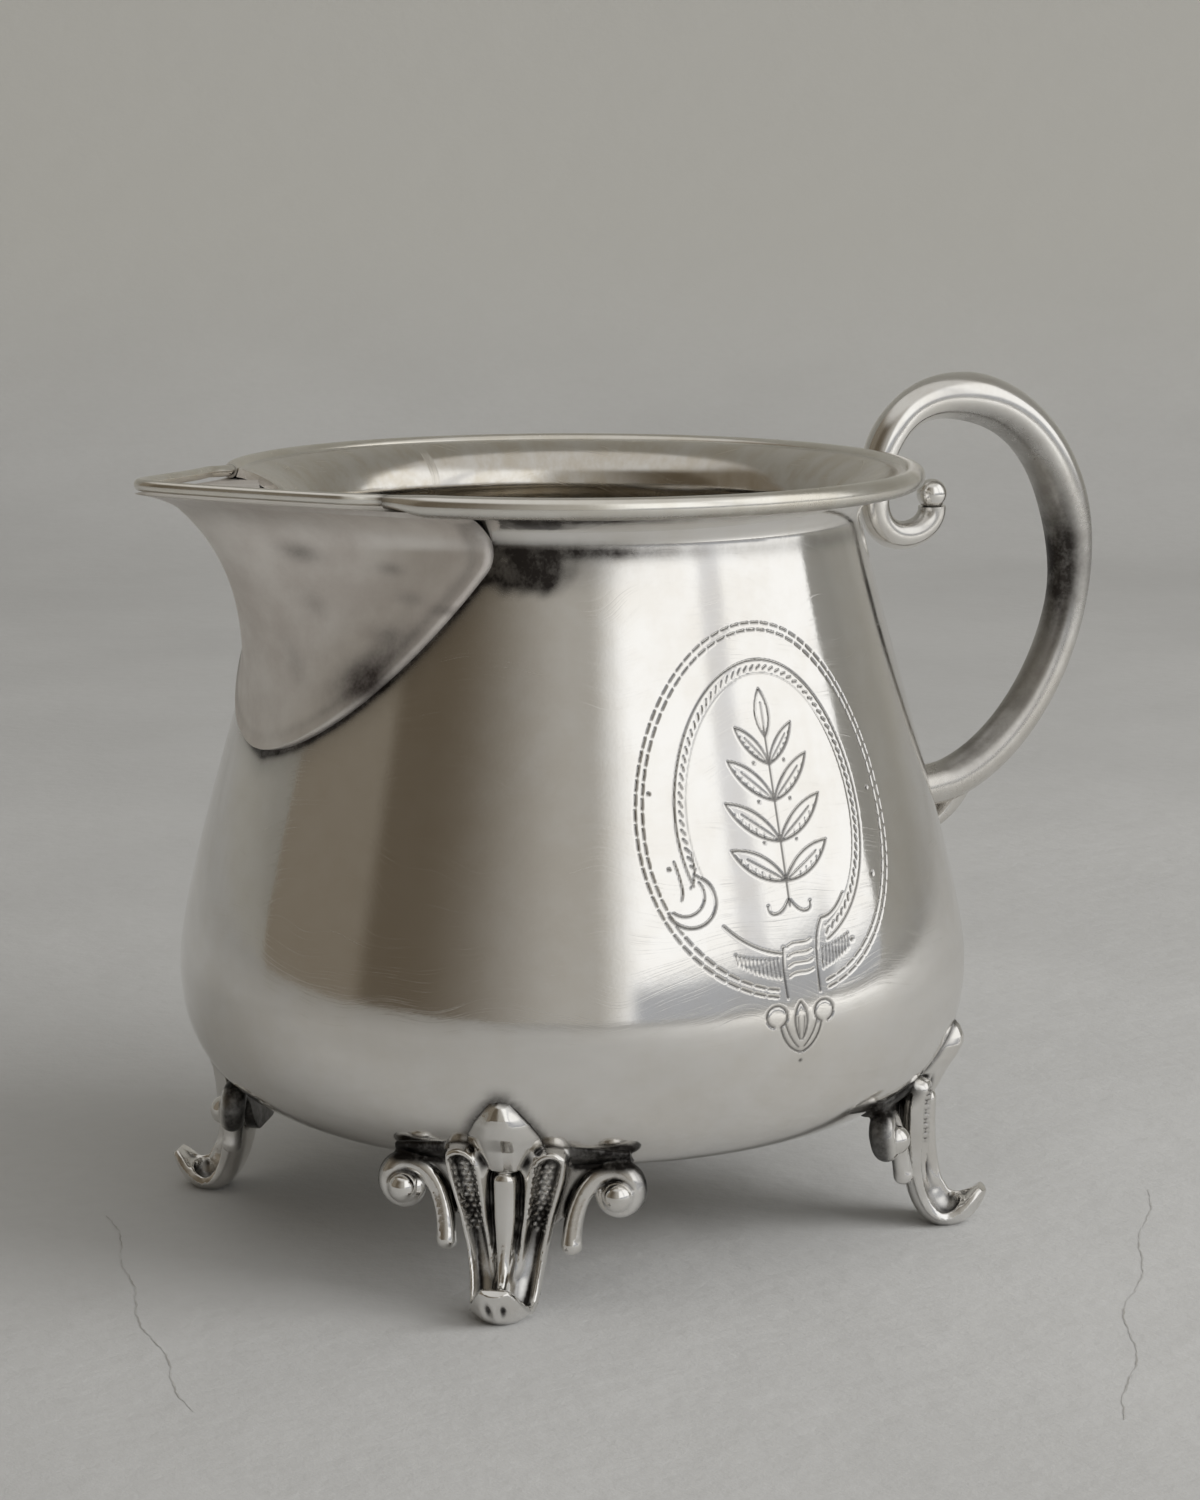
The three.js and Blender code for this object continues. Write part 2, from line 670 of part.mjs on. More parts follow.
// Four feet about the axis, turned a little from the diagonals of the spout
const footSurface = surface(foot(envelope));
const footNames = ['foot_back_handle', 'foot_front_handle', 'foot_front_spout', 'foot_back_spout'];
for (let i = 0; i < FOOT_COUNT; i += 1) {
  const turn = -((i + 0.5) * 360) / FOOT_COUNT + FOOT_TURN;
  const post = piece(footNames[i], footSurface, SILVER, 0.28);
  post.rotation.z = THREE.MathUtils.degToRad(turn);
  jug.add(post);
}

// Stand the jug on its feet, centred on its own outline
const outline = new THREE.Box3().setFromObject(jug, true);
const centre = outline.getCenter(new THREE.Vector3());
jug.position.set(-centre.x, -centre.y, -outline.min.z);

export default jug;
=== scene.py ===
import math

import bmesh
import bpy
import numpy as np
from numpy import arctan2, array, clip, cos, hstack, hypot, interp, linspace
from numpy import maximum, minimum, pi, sin, sqrt, vstack
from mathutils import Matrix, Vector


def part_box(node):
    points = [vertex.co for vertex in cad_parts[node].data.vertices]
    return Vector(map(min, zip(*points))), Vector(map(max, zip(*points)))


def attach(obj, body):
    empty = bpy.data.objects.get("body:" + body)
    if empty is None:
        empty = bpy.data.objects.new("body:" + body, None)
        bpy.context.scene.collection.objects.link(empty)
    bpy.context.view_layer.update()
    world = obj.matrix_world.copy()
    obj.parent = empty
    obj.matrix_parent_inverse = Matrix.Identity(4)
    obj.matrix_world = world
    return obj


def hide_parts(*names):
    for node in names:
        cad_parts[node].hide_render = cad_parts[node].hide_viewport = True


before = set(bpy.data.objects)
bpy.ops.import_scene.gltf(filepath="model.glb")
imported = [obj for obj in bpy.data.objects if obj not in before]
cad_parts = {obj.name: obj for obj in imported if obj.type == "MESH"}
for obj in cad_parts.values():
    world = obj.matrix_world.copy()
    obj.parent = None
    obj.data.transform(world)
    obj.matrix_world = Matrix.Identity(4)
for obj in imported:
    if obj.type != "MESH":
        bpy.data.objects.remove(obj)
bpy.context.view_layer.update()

# Sizes are in millimetres about the axis of the body; Blender gets metres in the shared frame.
MM = 0.001
body_low, body_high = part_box("body")
AXIS = array([(body_low.x + body_high.x) / 2 / MM, 0, 0])

# Body
BELLY_RADIUS = 42.0
BELLY_HEIGHT = 28.0
BASE_RADIUS = 18.0
BASE_HEIGHT = 11.6
NECK_RADIUS = 30.4
NECK_HEIGHT = 75.2
SHEET = 0.9

# Mouth
RIM_RADIUS = 36.0
RIM_HEIGHT = 79.6
RIM_WIRE = 2.26

# Spout
CHIN_HEIGHT = 53.4
LIP_HEIGHT = 79.93
SPOUT_REACH = 49.6
SPOUT_WALL = 1.0
LIP_RISE = 1.0
SEAM_ANGLE = 51.0
SEAM_LIFT = 0.85
SEAM_SINK = 0.35
SEAM_ROLL = 0.9
SEAM_EASE = 1.7
LIP_WIRE = 1.2
LIP_POWER = 24.0
LIP_JOIN = math.radians(30.0)
OPENING_ANGLE = math.radians(29.0)

# Handle
HANDLE_REACH = 65.9
HANDLE_TOP = 85.9
HANDLE_MIDDLE = 65.8
HANDLE_LOW = 42.2
BAR_TOP = 5.6
BAR_MIDDLE = 4.5
BAR_RIM = 3.9
BAR_TIP = 3.0
CURL_DROP = 9.0
CURL_WIDTH = 7.9
BEAD = 3.4

# Feet
FOOT_RADIUS = 41.7
FOOT_TURN = 5.0
LEG_THICK = 2.6
LEG_RISE = 1.55
SCROLL_SPREAD = 10.6
SCROLL_HEIGHT = 12.0
SCROLL_RADIUS = 1.95
SCROLL_BALL = 1.55
SCALE_WIDTH = 0.6
SCALE_HEIGHT = 0.54
SCALE_RELIEF = 0.17
VOXEL = 0.145

# Engraving: turn of its centre from -Y, and the radius that turns angles into widths
ENGRAVED_TURN = math.radians(2.5)
ENGRAVED_RADIUS = 37.6
PLATE_HALF = 18.0
PLATE_LOW = 24.0
PLATE_HIGH = 69.0
PLATE_STEP = 0.08
CUT_DEPTH = 0.1

# Camera at the angle of the photograph
CAMERA_TURN = math.radians(-30.0)
CAMERA_DISTANCE = 393.2
CAMERA_HEIGHT = 117.64
CAMERA_PITCH = 9.76
CAMERA_HEADING = -30.43
CAMERA_LENS = 89.70

# Soft light from the side of the windows: turn from the camera, lift, distance, power, size in metres
LAMP_TURN = 72.0
LAMP_LIFT = 22.0
LAMP_DISTANCE = 760.0
LAMP_POWER = 4.0
LAMP_SIZE = (0.5, 0.34)

# Floor, and the cove in which it rises into a wall
FLOOR_HALF = 5000
COVE_START = 560
COVE_RADIUS = 420
WALL_TOP = 2600


# ---- curves

def mix(a, b, t):
    return a + (b - a) * t


def unit(value):
    return clip(value, 0, 1)


def smooth(value, low, high):
    """Eased step from 0 at low to 1 at high, which may lie below low."""
    t = unit((np.asarray(value, float) - low) / (high - low))
    return t * t * (3 - 2 * t)


def hump(value, width):
    """Bell curve of the given width, 1 where the value is 0."""
    return np.exp(-(value / width) ** 2)


def even(count):
    return linspace(0, 1, count)


def full_turn(count):
    return linspace(0, 2 * pi, count, endpoint=False)


def bezier(points, t):
    """Points of a Bezier curve at the given places from 0 to 1."""
    layer = [np.asarray(p, float)[None, :] for p in points]
    t = np.atleast_1d(np.asarray(t, float))[:, None]
    while len(layer) > 1:
        layer = [a + (b - a) * t for a, b in zip(layer, layer[1:])]
    return layer[0]


def lengths(line):
    return np.r_[0, np.cumsum(np.linalg.norm(np.diff(line, axis=0), axis=1))]


def at_length(line, place):
    """Points of a line at given lengths along it."""
    along = lengths(line)
    return np.column_stack([interp(place, along, column) for column in line.T])


def resample(line, count):
    """The same line with evenly spaced points."""
    return at_length(line, linspace(0, lengths(line)[-1], count))


def tangents(line):
    slope = np.gradient(line, axis=0)
    return slope / np.linalg.norm(slope, axis=1)[:, None]


def space(x, y, z):
    """Points whose coordinates may be grids, lines or numbers."""
    return np.stack(np.broadcast_arrays(x, y, z), axis=-1)


def profile_normals(profile):
    """Outward normals of a radius and height profile that runs upwards."""
    along = tangents(profile)
    return np.c_[along[:, 1], -along[:, 0]]


# ---- meshes

def grid_faces(rows, columns, wrapped):
    index = np.arange(rows * columns).reshape(rows, columns)
    if wrapped:
        index = np.c_[index, index[:, :1]]
    corners = [index[:-1, :-1], index[:-1, 1:], index[1:, 1:], index[1:, :-1]]
    return np.stack(corners, axis=-1).reshape(-1, 4)


def skin(rings):
    """Closed skin over rings of equal length, with a fan over each end."""
    rows, columns = rings.shape[:2]
    points = rings.reshape(-1, 3)
    faces = grid_faces(rows, columns, True).tolist()
    for row in (0, rows - 1):
        centre = len(points)
        points = vstack([points, rings[row].mean(axis=0)])
        first = row * columns
        for k in range(columns):
            faces.append((first + k, first + (k + 1) % columns, centre))
    return points, faces


def tube(line, radii, sides):
    """Round bar along a line in space, with its own radius at each point."""
    along = tangents(line)
    side = np.cross(along[0], (0.3, 0.5, 0.8))
    turn = full_turn(sides)[:, None]
    rings = []
    for point, direction, radius in zip(line, along, np.broadcast_to(radii, len(line))):
        side = side - direction * side.dot(direction)
        side = side / np.linalg.norm(side)
        other = np.cross(direction, side)
        rings.append(point + radius * (cos(turn) * side + sin(turn) * other))
    return skin(array(rings))


def rounded(radius, line):
    """Radii along an evenly spaced line, rounded off at both ends."""
    place = linspace(0, lengths(line)[-1], len(line))
    radii = np.broadcast_to(radius, len(line)).astype(float)
    for distance in (place, place[-1] - place):
        near = unit(distance / radii)
        radii = radii * sqrt(clip(1 - (1 - near) ** 2, 0.0025, 1))
    return radii


def ball(centre, radius, sides=24):
    turn = full_turn(sides)
    lift = linspace(-0.97, 0.97, sides // 2)[:, None] * pi / 2
    rings = space(cos(lift) * cos(turn), cos(lift) * sin(turn), sin(lift))
    return skin(np.asarray(centre) + radius * rings)


def joined(parts):
    """Several meshes as one list of points and faces."""
    points, faces, start = [], [], 0
    for part_points, part_faces in parts:
        points.append(part_points)
        faces.extend([[start + k for k in face] for face in part_faces])
        start += len(part_points)
    return vstack(points), faces


def placed(name, data):
    """New object in the scene."""
    made = bpy.data.objects.new(name, data)
    bpy.context.scene.collection.objects.link(made)
    return made


def drop(piece):
    mesh = piece.data
    bpy.data.objects.remove(piece)
    bpy.data.meshes.remove(mesh)


def build(name, points, faces):
    """Blender object of points in millimetres, with its faces turned outwards."""
    mesh = bpy.data.meshes.new(name)
    mesh.from_pydata(((points + AXIS) * MM).tolist(), [], faces)
    shape = bmesh.new()
    shape.from_mesh(mesh)
    bmesh.ops.recalc_face_normals(shape, faces=shape.faces)
    shape.to_mesh(mesh)
    shape.free()
    return placed(name, mesh)


def settle(piece):
    """Turns the modifiers of a piece into its mesh."""
    graph = bpy.context.evaluated_depsgraph_get()
    made = bpy.data.meshes.new_from_object(piece.evaluated_get(graph))
    old = piece.data
    piece.modifiers.clear()
    piece.data = made
    bpy.data.meshes.remove(old)


def combine(piece, tool, operation):
    """Cuts a piece by a tool, or joins the two, and drops the tool."""
    step = piece.modifiers.new("combine", "BOOLEAN")
    step.operation = operation
    step.solver = "MANIFOLD"
    step.object = tool
    settle(piece)
    drop(tool)


def vectors(items, field):
    """One row of three numbers for each item."""
    flat = np.empty(3 * len(items))
    items.foreach_get(field, flat)
    return flat.reshape(-1, 3)


def places(mesh):
    return vectors(mesh.vertices, "co") / MM - AXIS


def directions(mesh):
    return vectors(mesh.vertex_normals, "vector")


def move(mesh, points):
    mesh.vertices.foreach_set("co", ((points + AXIS) * MM).ravel())
    mesh.update()


def note(mesh, **layers):
    """Values at the points that the material reads by name."""
    for name, values in layers.items():
        layer = mesh.attributes.new(name, "FLOAT", "POINT")
        layer.data.foreach_set("value", np.asarray(values, np.float32))


def neighbours_mean(mesh, values, rounds):
    """Values of the points, eased towards those of their neighbours."""
    pairs = np.empty(2 * len(mesh.edges), int)
    mesh.edges.foreach_get("vertices", pairs)
    a, b = pairs.reshape(-1, 2).T
    size = len(values)
    count = np.bincount(np.r_[a, b], minlength=size)[:, None]
    eased = values.copy()
    for _ in range(rounds):
        total = np.zeros_like(eased)
        for k in range(eased.shape[1]):
            total[:, k] = np.bincount(a, eased[b, k], size) + np.bincount(b, eased[a, k], size)
        eased = mix(eased, total / maximum(count, 1), 0.6)
    return eased


def finish_piece(piece, node, material, sharp):
    """Shades a piece, keeps edges above an angle sharp, and puts it in place of its node."""
    piece.data.shade_smooth()
    piece.data.set_sharp_from_angle(angle=math.radians(sharp))
    piece.data.materials.clear()
    piece.data.materials.append(material)
    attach(piece, "root")
    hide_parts(node)


# ---- shader nodes

class Nodes:
    """Short names for the shader nodes that the materials use."""

    def __init__(self, owner):
        owner.use_nodes = True
        self.tree = owner.node_tree
        self.tree.nodes.clear()

    def node(self, kind, inputs=None, **settings):
        made = self.tree.nodes.new("ShaderNode" + kind)
        for key, value in settings.items():
            setattr(made, key, value)
        for key, value in (inputs or {}).items():
            if isinstance(value, bpy.types.NodeSocket):
                self.tree.links.new(value, made.inputs[key])
            else:
                made.inputs[key].default_value = value
        return made

    def out(self, kind, inputs=None, **settings):
        return self.node(kind, inputs, **settings).outputs[0]

    def math(self, operation, a, b=0.0):
        return self.out("Math", {0: a, 1: b}, operation=operation)

    def times(self, a, b):
        return self.math("MULTIPLY", a, b)

    def span(self, value, low, high, start=0.0, end=1.0):
        """Smooth step from start to end while the value goes from low to high."""
        inputs = {"Value": value, "From Min": low, "From Max": high, "To Min": start, "To Max": end}
        return self.out("MapRange", inputs, interpolation_type="SMOOTHSTEP")

    def blend(self, share, a, b):
        a, b = ((*side, 1) if isinstance(side, tuple) else side for side in (a, b))
        return self.node("Mix", {0: share, 6: a, 7: b}, data_type="RGBA").outputs[2]

    def noise(self, place, scale, detail, rough=0.5):
        inputs = {"Vector": place, "Scale": scale, "Detail": detail, "Roughness": rough}
        return self.out("TexNoise", inputs)

    def attribute(self, name):
        return self.node("Attribute", attribute_name=name).outputs["Fac"]

    def object_place(self):
        """Place in the object, in millimetres."""
        place = self.node("TexCoord").outputs["Object"]
        inputs = {0: place, "Scale": 1000.0}
        return self.out("VectorMath", inputs, operation="SCALE")

    def add(self, *values):
        total = values[0]
        for value in values[1:]:
            total = self.math("ADD", total, value)
        return total

    def bump(self, height, strength, distance):
        inputs = {"Height": height, "Strength": strength, "Distance": distance}
        return self.out("Bump", inputs)

    def surface(self, colour, roughness, **more):
        inputs = {"Base Color": colour, "Roughness": roughness, **more}
        shader = self.node("BsdfPrincipled", inputs)
        self.node("OutputMaterial", {0: shader.outputs[0]})


def silver(name, place, bare, film, tarnish, rough, film_share, scratch, inside=None, mark=None, metal=1.0):
    """Worn silver: a thin warm film, black tarnish and painted shade, hairline scratches and uneven polish.
    """
    material = bpy.data.materials.new(name)
    n = Nodes(material)
    where = n.object_place() if place is None else n.out("CombineXYZ", {
        0: n.attribute(place[0]), 1: n.attribute(place[1])})
    bend = n.node("TexNoise", {"Vector": where, "Scale": 0.07, "Detail": 1.0}).outputs[1]
    swirl = n.out("VectorMath", {0: bend, "Scale": 9.0}, operation="SCALE")
    bent = n.out("VectorMath", {0: where, 1: swirl}, operation="ADD")
    broad = n.noise(where, 0.055, 3.0)
    cloud = n.noise(where, 0.32, 4.0, 0.6)
    grain = n.noise(where, 2.6, 3.0)
    lines = []
    for k, turn in enumerate((0.35, 1.25, 2.05, 2.75)):
        inputs = {"Vector": bent, "Rotation": (0, 0, turn), "Scale": (0.07, 7.0 + 1.3 * k, 0.07)}
        lines.append(n.span(n.noise(n.out("Mapping", inputs), 1.0, 1.0), 0.62, 0.8))
    hair = n.times(n.add(*lines), n.span(cloud, 0.35, 0.7, 0.25, 1.0))

    blotch = n.span(n.add(cloud, n.times(grain, 0.3)), 0.4, 0.85, 0.82, 1.06)
    # Darkening that holds real tarnish and, on some pieces, painted shade
    dark = n.math("MINIMUM", n.times(n.attribute("tarnish"), blotch), 1.0)
    filmed = n.span(n.add(broad, n.times(cloud, 0.6)), 0.6, 1.05, 0.0, film_share)
    colour = n.blend(filmed, bare, film)
    if inside is not None:
        stained = n.times(n.attribute("inside"), n.span(cloud, 0.35, 0.7, 0.3, 1.0))
        colour = n.blend(stained, colour, inside)
    colour = n.blend(dark, colour, tarnish)
    if mark is not None:
        colour = n.blend(n.times(n.attribute("mark"), 0.85), colour, mark)
    roughness = n.add(
        n.span(broad, 0.3, 0.72, rough * 0.85, rough * 1.3),
        n.times(n.span(grain, 0.4, 0.8), rough * 0.25),
        n.times(dark, 0.22),
        n.times(hair, 0.07 * scratch),
    )
    if inside is not None:
        roughness = n.add(roughness, n.times(n.attribute("inside"), 0.05))
    height = n.add(
        n.times(hair, -0.22 * scratch),
        n.times(n.noise(where, 0.11, 2.0), 6.0),
        n.times(grain, 0.5),
    )
    n.surface(colour, roughness, Metallic=metal, Normal=n.bump(height, 0.4, 0.000012))
    return material


# ---- body

UNDERSIDE = (
    (BASE_RADIUS, BASE_HEIGHT), (34, BASE_HEIGHT), (BELLY_RADIUS, 16), (BELLY_RADIUS, BELLY_HEIGHT))
SIDE = ((BELLY_RADIUS, BELLY_HEIGHT), (BELLY_RADIUS, 36), (34.08, 59.2), (NECK_RADIUS, NECK_HEIGHT))
FLARE_END = (RIM_RADIUS - RIM_WIRE * 0.3, RIM_HEIGHT - RIM_WIRE / 8)
FLARE = (
    (NECK_RADIUS, NECK_HEIGHT),
    (NECK_RADIUS - 0.337, NECK_HEIGHT + 1.467),
    (mix(NECK_RADIUS, FLARE_END[0], 0.4), mix(NECK_HEIGHT, FLARE_END[1], 0.88)),
    FLARE_END,
)
steps = even(600)
outer_line = vstack([bezier(UNDERSIDE, steps), bezier(SIDE, steps)[1:], bezier(FLARE, steps)[1:]])


def wall_radius(height):
    return interp(height, outer_line[:, 1], outer_line[:, 0])


def spaced_profile():
    """Outer profile with close rows where the engraving lies."""
    along = lengths(outer_line)
    low, high = interp((PLATE_LOW, PLATE_HIGH), outer_line[:, 1], along)
    stops = [(0, 0.5), (low, 0.13), (high, 0.35), (along[-1], 1)]
    rows = []
    for (start, step), (end, _) in zip(stops, stops[1:]):
        rows.append(linspace(start, end, int(math.ceil((end - start) / step)), endpoint=False))
    return at_length(outer_line, np.r_[np.concatenate(rows), along[-1]])


def around_columns():
    """Angles from -Y towards +X, close together at the engraving and at the spout."""
    spans = [(-23, 28, 0.2), (28, 72, 0.8), (72, 224, 2.0), (224, 337, 0.8)]
    parts = [linspace(a, b, int(round((b - a) / step)), endpoint=False) for a, b, step in spans]
    return np.radians(np.concatenate(parts))


class Plate:
    """Depth of the engraving over the front of the body, as a map of width and height."""

    def __init__(self):
        self.across = np.arange(-PLATE_HALF, PLATE_HALF, PLATE_STEP)
        self.up = np.arange(PLATE_LOW, PLATE_HIGH, PLATE_STEP)
        self.depth = np.zeros((len(self.up), len(self.across)))

    def stroke(self, line, width, depth=1.0):
        line = np.asarray(line, float)
        reach = 0.4 * width
        for (ax, ay), (bx, by) in zip(line, line[1:]):
            x0, x1 = np.searchsorted(self.across, (min(ax, bx) - reach, max(ax, bx) + reach))
            y0, y1 = np.searchsorted(self.up, (min(ay, by) - reach, max(ay, by) + reach))
            x, y = np.meshgrid(self.across[x0:x1], self.up[y0:y1])
            size = (bx - ax) ** 2 + (by - ay) ** 2
            k = unit(((x - ax) * (bx - ax) + (y - ay) * (by - ay)) / max(size, 1e-9))
            away = hypot(x - ax - k * (bx - ax), y - ay - k * (by - ay))
            cut = depth * unit(1 - away / reach) ** 0.7
            part = self.depth[y0:y1, x0:x1]
            maximum(part, cut, out=part)

    def curve(self, points, width, depth=1.0):
        self.stroke(bezier(points, even(16)), width, depth)

    def dot(self, x, y, size):
        self.stroke([(x - 0.02, y), (x + 0.02, y)], size)

    def dashes(self, line, dash, gap, width=0.34, slant=0.0):
        """Row of short cuts along a line, each turned by the slant."""
        length = lengths(line)[-1]
        count = int(length / (dash + gap))
        c, s = math.cos(slant), math.sin(slant)
        for k in range(count):
            middle = (k + 0.5) * length / count
            start, end = at_length(line, [middle - dash / 2, middle + dash / 2])
            dx, dy = (end - start) / 2
            turned = array([dx * c - dy * s, dx * s + dy * c])
            centre = (start + end) / 2
            self.stroke([centre - turned, centre + turned], width)

    def leaf(self, root, tip, belly, hatch):
        """Leaf of two curved edges and a vein, shaded on its lower side."""
        root, tip = array(root, float), array(tip, float)
        side = array([root[1] - tip[1], tip[0] - root[0]]) * belly / np.linalg.norm(tip - root)
        upper, lower = (
            [root, mix(root, tip, 0.3) + out, mix(root, tip, 0.7) + out, tip] for out in (side, -side))
        self.curve(upper, 0.34)
        self.curve(lower, 0.42)
        self.stroke([root, mix(root, tip, 0.72)], 0.28, 0.8)
        for k in range(hatch):
            t = 0.25 + 0.5 * k / (hatch - 1)
            edge = bezier(lower, t)[0]
            self.stroke([edge, mix(edge, mix(root, tip, t + 0.08), 0.6)], 0.24, 0.7)

    def sample(self, x, y):
        fx = clip((x + PLATE_HALF) / PLATE_STEP, 0, len(self.across) - 1.001)
        fy = clip((y - PLATE_LOW) / PLATE_STEP, 0, len(self.up) - 1.001)
        i, j = fx.astype(int), fy.astype(int)
        u, v = fx - i, fy - j
        top = mix(self.depth[j + 1, i], self.depth[j + 1, i + 1], u)
        low = mix(self.depth[j, i], self.depth[j, i + 1], u)
        inside = (abs(x) < PLATE_HALF) & (y > PLATE_LOW) & (y < PLATE_HIGH)
        return np.where(inside, mix(low, top, v), 0)


def oval(half, low, high, start, end, count=240):
    """Part of an upright oval; angles run clockwise from its top in degrees."""
    turn = np.radians(linspace(start, end, count))
    return np.c_[half * sin(turn), (low + high) / 2 + (high - low) / 2 * cos(turn)]


def arc(centre, radius, start, end, count):
    turn = np.radians(linspace(start, end, count))
    return np.asarray(centre) + radius * np.c_[cos(turn), sin(turn)]


# Engraved curves: strap through the buckle, from the buckle's centre; hanging end of the strap; one
# half of the palmette and of the sprig's foot, each with its width
BUCKLE = array([-10.2, 41.4])
BUCKLE_CURVES = (
    ((-1.4, 3.9), (-0.9, 2.2), (-0.6, 1.2), (-0.9, 0.2)),
    ((0.4, 4.6), (0.7, 3.2), (0.6, 2.2), (0.1, 1.3)),
)
STRAP_CURVES = (
    ((-1.3, 36.3), (-1.6, 34.8), (-1.5, 33.0), (-1.3, 31.4)),
    ((3.4, 38.6), (2.6, 37.6), (2.2, 36.2), (2.3, 31.6)),
    ((3.4, 38.6), (4.6, 38.6), (5.6, 39.4), (6.6, 40.6)),
)
MIRRORED_CURVES = (
    (0.38, ((2.2, 28.7), (2.0, 27.4), (1.2, 26.2), (0.1, 25.9))),
    (0.3, ((1.7, 29.0), (1.5, 28.0), (0.9, 27.0), (0.3, 26.4))),
    (0.34, ((0, 30.9), (0.9, 29.9), (0.8, 28.4), (0.15, 27.2))),
    (0.32, ((0, 40.9), (1.0, 39.0), (2.6, 39.2), (2.4, 40.4))),
)
# Leaves of the sprig: height of the root, reach, rise and belly
SPRIG_LEAVES = (
    (42.6, 5.6, 3.3, 1.25), (46.4, 5.7, 4.0, 1.2), (50.3, 4.9, 4.1, 1.05), (53.8, 3.6, 3.7, 0.85))
# Shading beside the strap: first place, step, height, bend, lean, length, shortening and count
STRAP_SHADING = (
    (-1.9, -0.42, 33.2, 0.052, -0.16, 2.0, 0.1, 11), (2.9, 0.42, 33.3, 0.05, 0.16, 2.1, 0.08, 9))


def garter_engraving():
    """Strap-and-buckle oval with a palmette below it and a plain leaf sprig inside."""
    plate = Plate()
    for half, low, high in ((15.2, 31.4, 67.4), (14.5, 32.1, 66.7)):
        plate.dashes(resample(oval(half, low, high, -172, 168), 600), 1.0, 0.38)
    plate.stroke(oval(11.2, 35.6, 63.8, -119, 160), 0.32)
    plate.stroke(oval(11.2, 35.6, 63.8, -172, -140), 0.32)
    plate.dashes(resample(oval(10.5, 36.3, 63.1, -118, 160), 500), 0.62, 0.24, 0.32, 0.6)
    plate.stroke(oval(9.95, 36.85, 62.55, -118, 158), 0.22, 0.5)
    # Eyelets of the strap
    for angle, height in ((-20.9, 51.8), (-18.5, 44.6), (20.4, 50.0), (17.3, 41.8), (10.5, 36.0)):
        plate.dot(math.radians(angle) * ENGRAVED_RADIUS, height, 0.62)
    # Crescent buckle and the strap that runs through it
    plate.stroke(arc(BUCKLE, 2.5, -150, 62, 40), 0.42)
    plate.stroke(arc(BUCKLE + (-0.55, 0.6), 1.95, -128, 40, 30), 0.34)
    for points in BUCKLE_CURVES:
        plate.curve(BUCKLE + points, 0.3)
    # Hanging end of the strap, with shading on it and beside it
    for points in STRAP_CURVES:
        plate.curve(points, 0.36)
    for k in range(4):
        height = 36.6 - 0.95 * k
        wave = ((-0.9, height - 0.3), (0.0, height + 0.35), (0.9, height - 0.35), (1.8, height + 0.2))
        plate.curve(wave, 0.24, 0.8)
    for first, step, height, bend, lean, length, less, count in STRAP_SHADING:
        for k in range(count):
            x = first + step * k
            base = height + bend * x * x
            plate.stroke([(x, base), (x + lean, base + length - less * k)], 0.24, 0.8)
    # Palmette below, and leaf sprig in the middle, the same on both sides
    for hand in (-1, 1):
        plate.stroke(arc((-2.55, 29.7), 1.05, -60, 250, 40) * (-hand, 1), 0.36)
        plate.stroke([(hand * 0.35, 29.4), (hand * 0.22, 27.6)], 0.24, 0.7)
        for width, points in MIRRORED_CURVES:
            plate.curve(array(points) * (hand, 1), width)
        for height, reach, rise, belly in SPRIG_LEAVES:
            plate.leaf((0, height), (hand * reach, height + rise), belly * hand, 5)
        for height in (46.4, 50.3, 54.0):
            plate.dot(hand * 1.9, height, 0.5)
    plate.dot(0, 25.0, 0.6)
    plate.curve([(0, 40.2), (0, 46), (0, 52), (0, 57.4)], 0.4)
    plate.leaf((0, 56.4), (0, 61.0), 1.15, 0)
    return plate


def spout_rise(height):
    """Share of the spout's height."""
    return (height - CHIN_HEIGHT) / (LIP_HEIGHT - CHIN_HEIGHT)


def beside_spout(radius, angle, height):
    """Points at an angle from the middle of the spout."""
    return space(-radius * cos(angle), radius * sin(angle), height)


def seam_angle(rise):
    """Angle of the spout's seam on the body, at a share of its height."""
    tuck = 1 - 0.16 * smooth(rise, 0.74, 1)
    return np.radians(SEAM_ANGLE) * tuck * unit(rise) ** 0.58


def seam_line(hand, count=160):
    rise = even(count) ** 1.6
    height = mix(CHIN_HEIGHT, LIP_HEIGHT - 1.2, rise)
    return beside_spout(wall_radius(height), hand * seam_angle(rise), height)


def nearest(points, line):
    """Distance from each point to the points of a line."""
    away = np.full(len(points), 1e3)
    for place in line:
        away = minimum(away, np.linalg.norm(points - place, axis=1))
    return away


# Leaf of a foot: half width by height, and distance of its front from the axis by height
LEAF = (
    [13.7, 15.5, 17.2, 18.2, 19.8, 21.3, 22.1, 22.5],
    [2.6, 3.4, 3.85, 3.75, 2.85, 1.7, 1.0, 0.35],
)
LEAF_FRONT = (
    [13.7, 15.0, 17.0, 18.5, 19.7, 20.6, 21.7, 22.5],
    [38.9, 39.6, 40.6, 41.6, 42.2, 42.2, 41.75, 40.9],
)


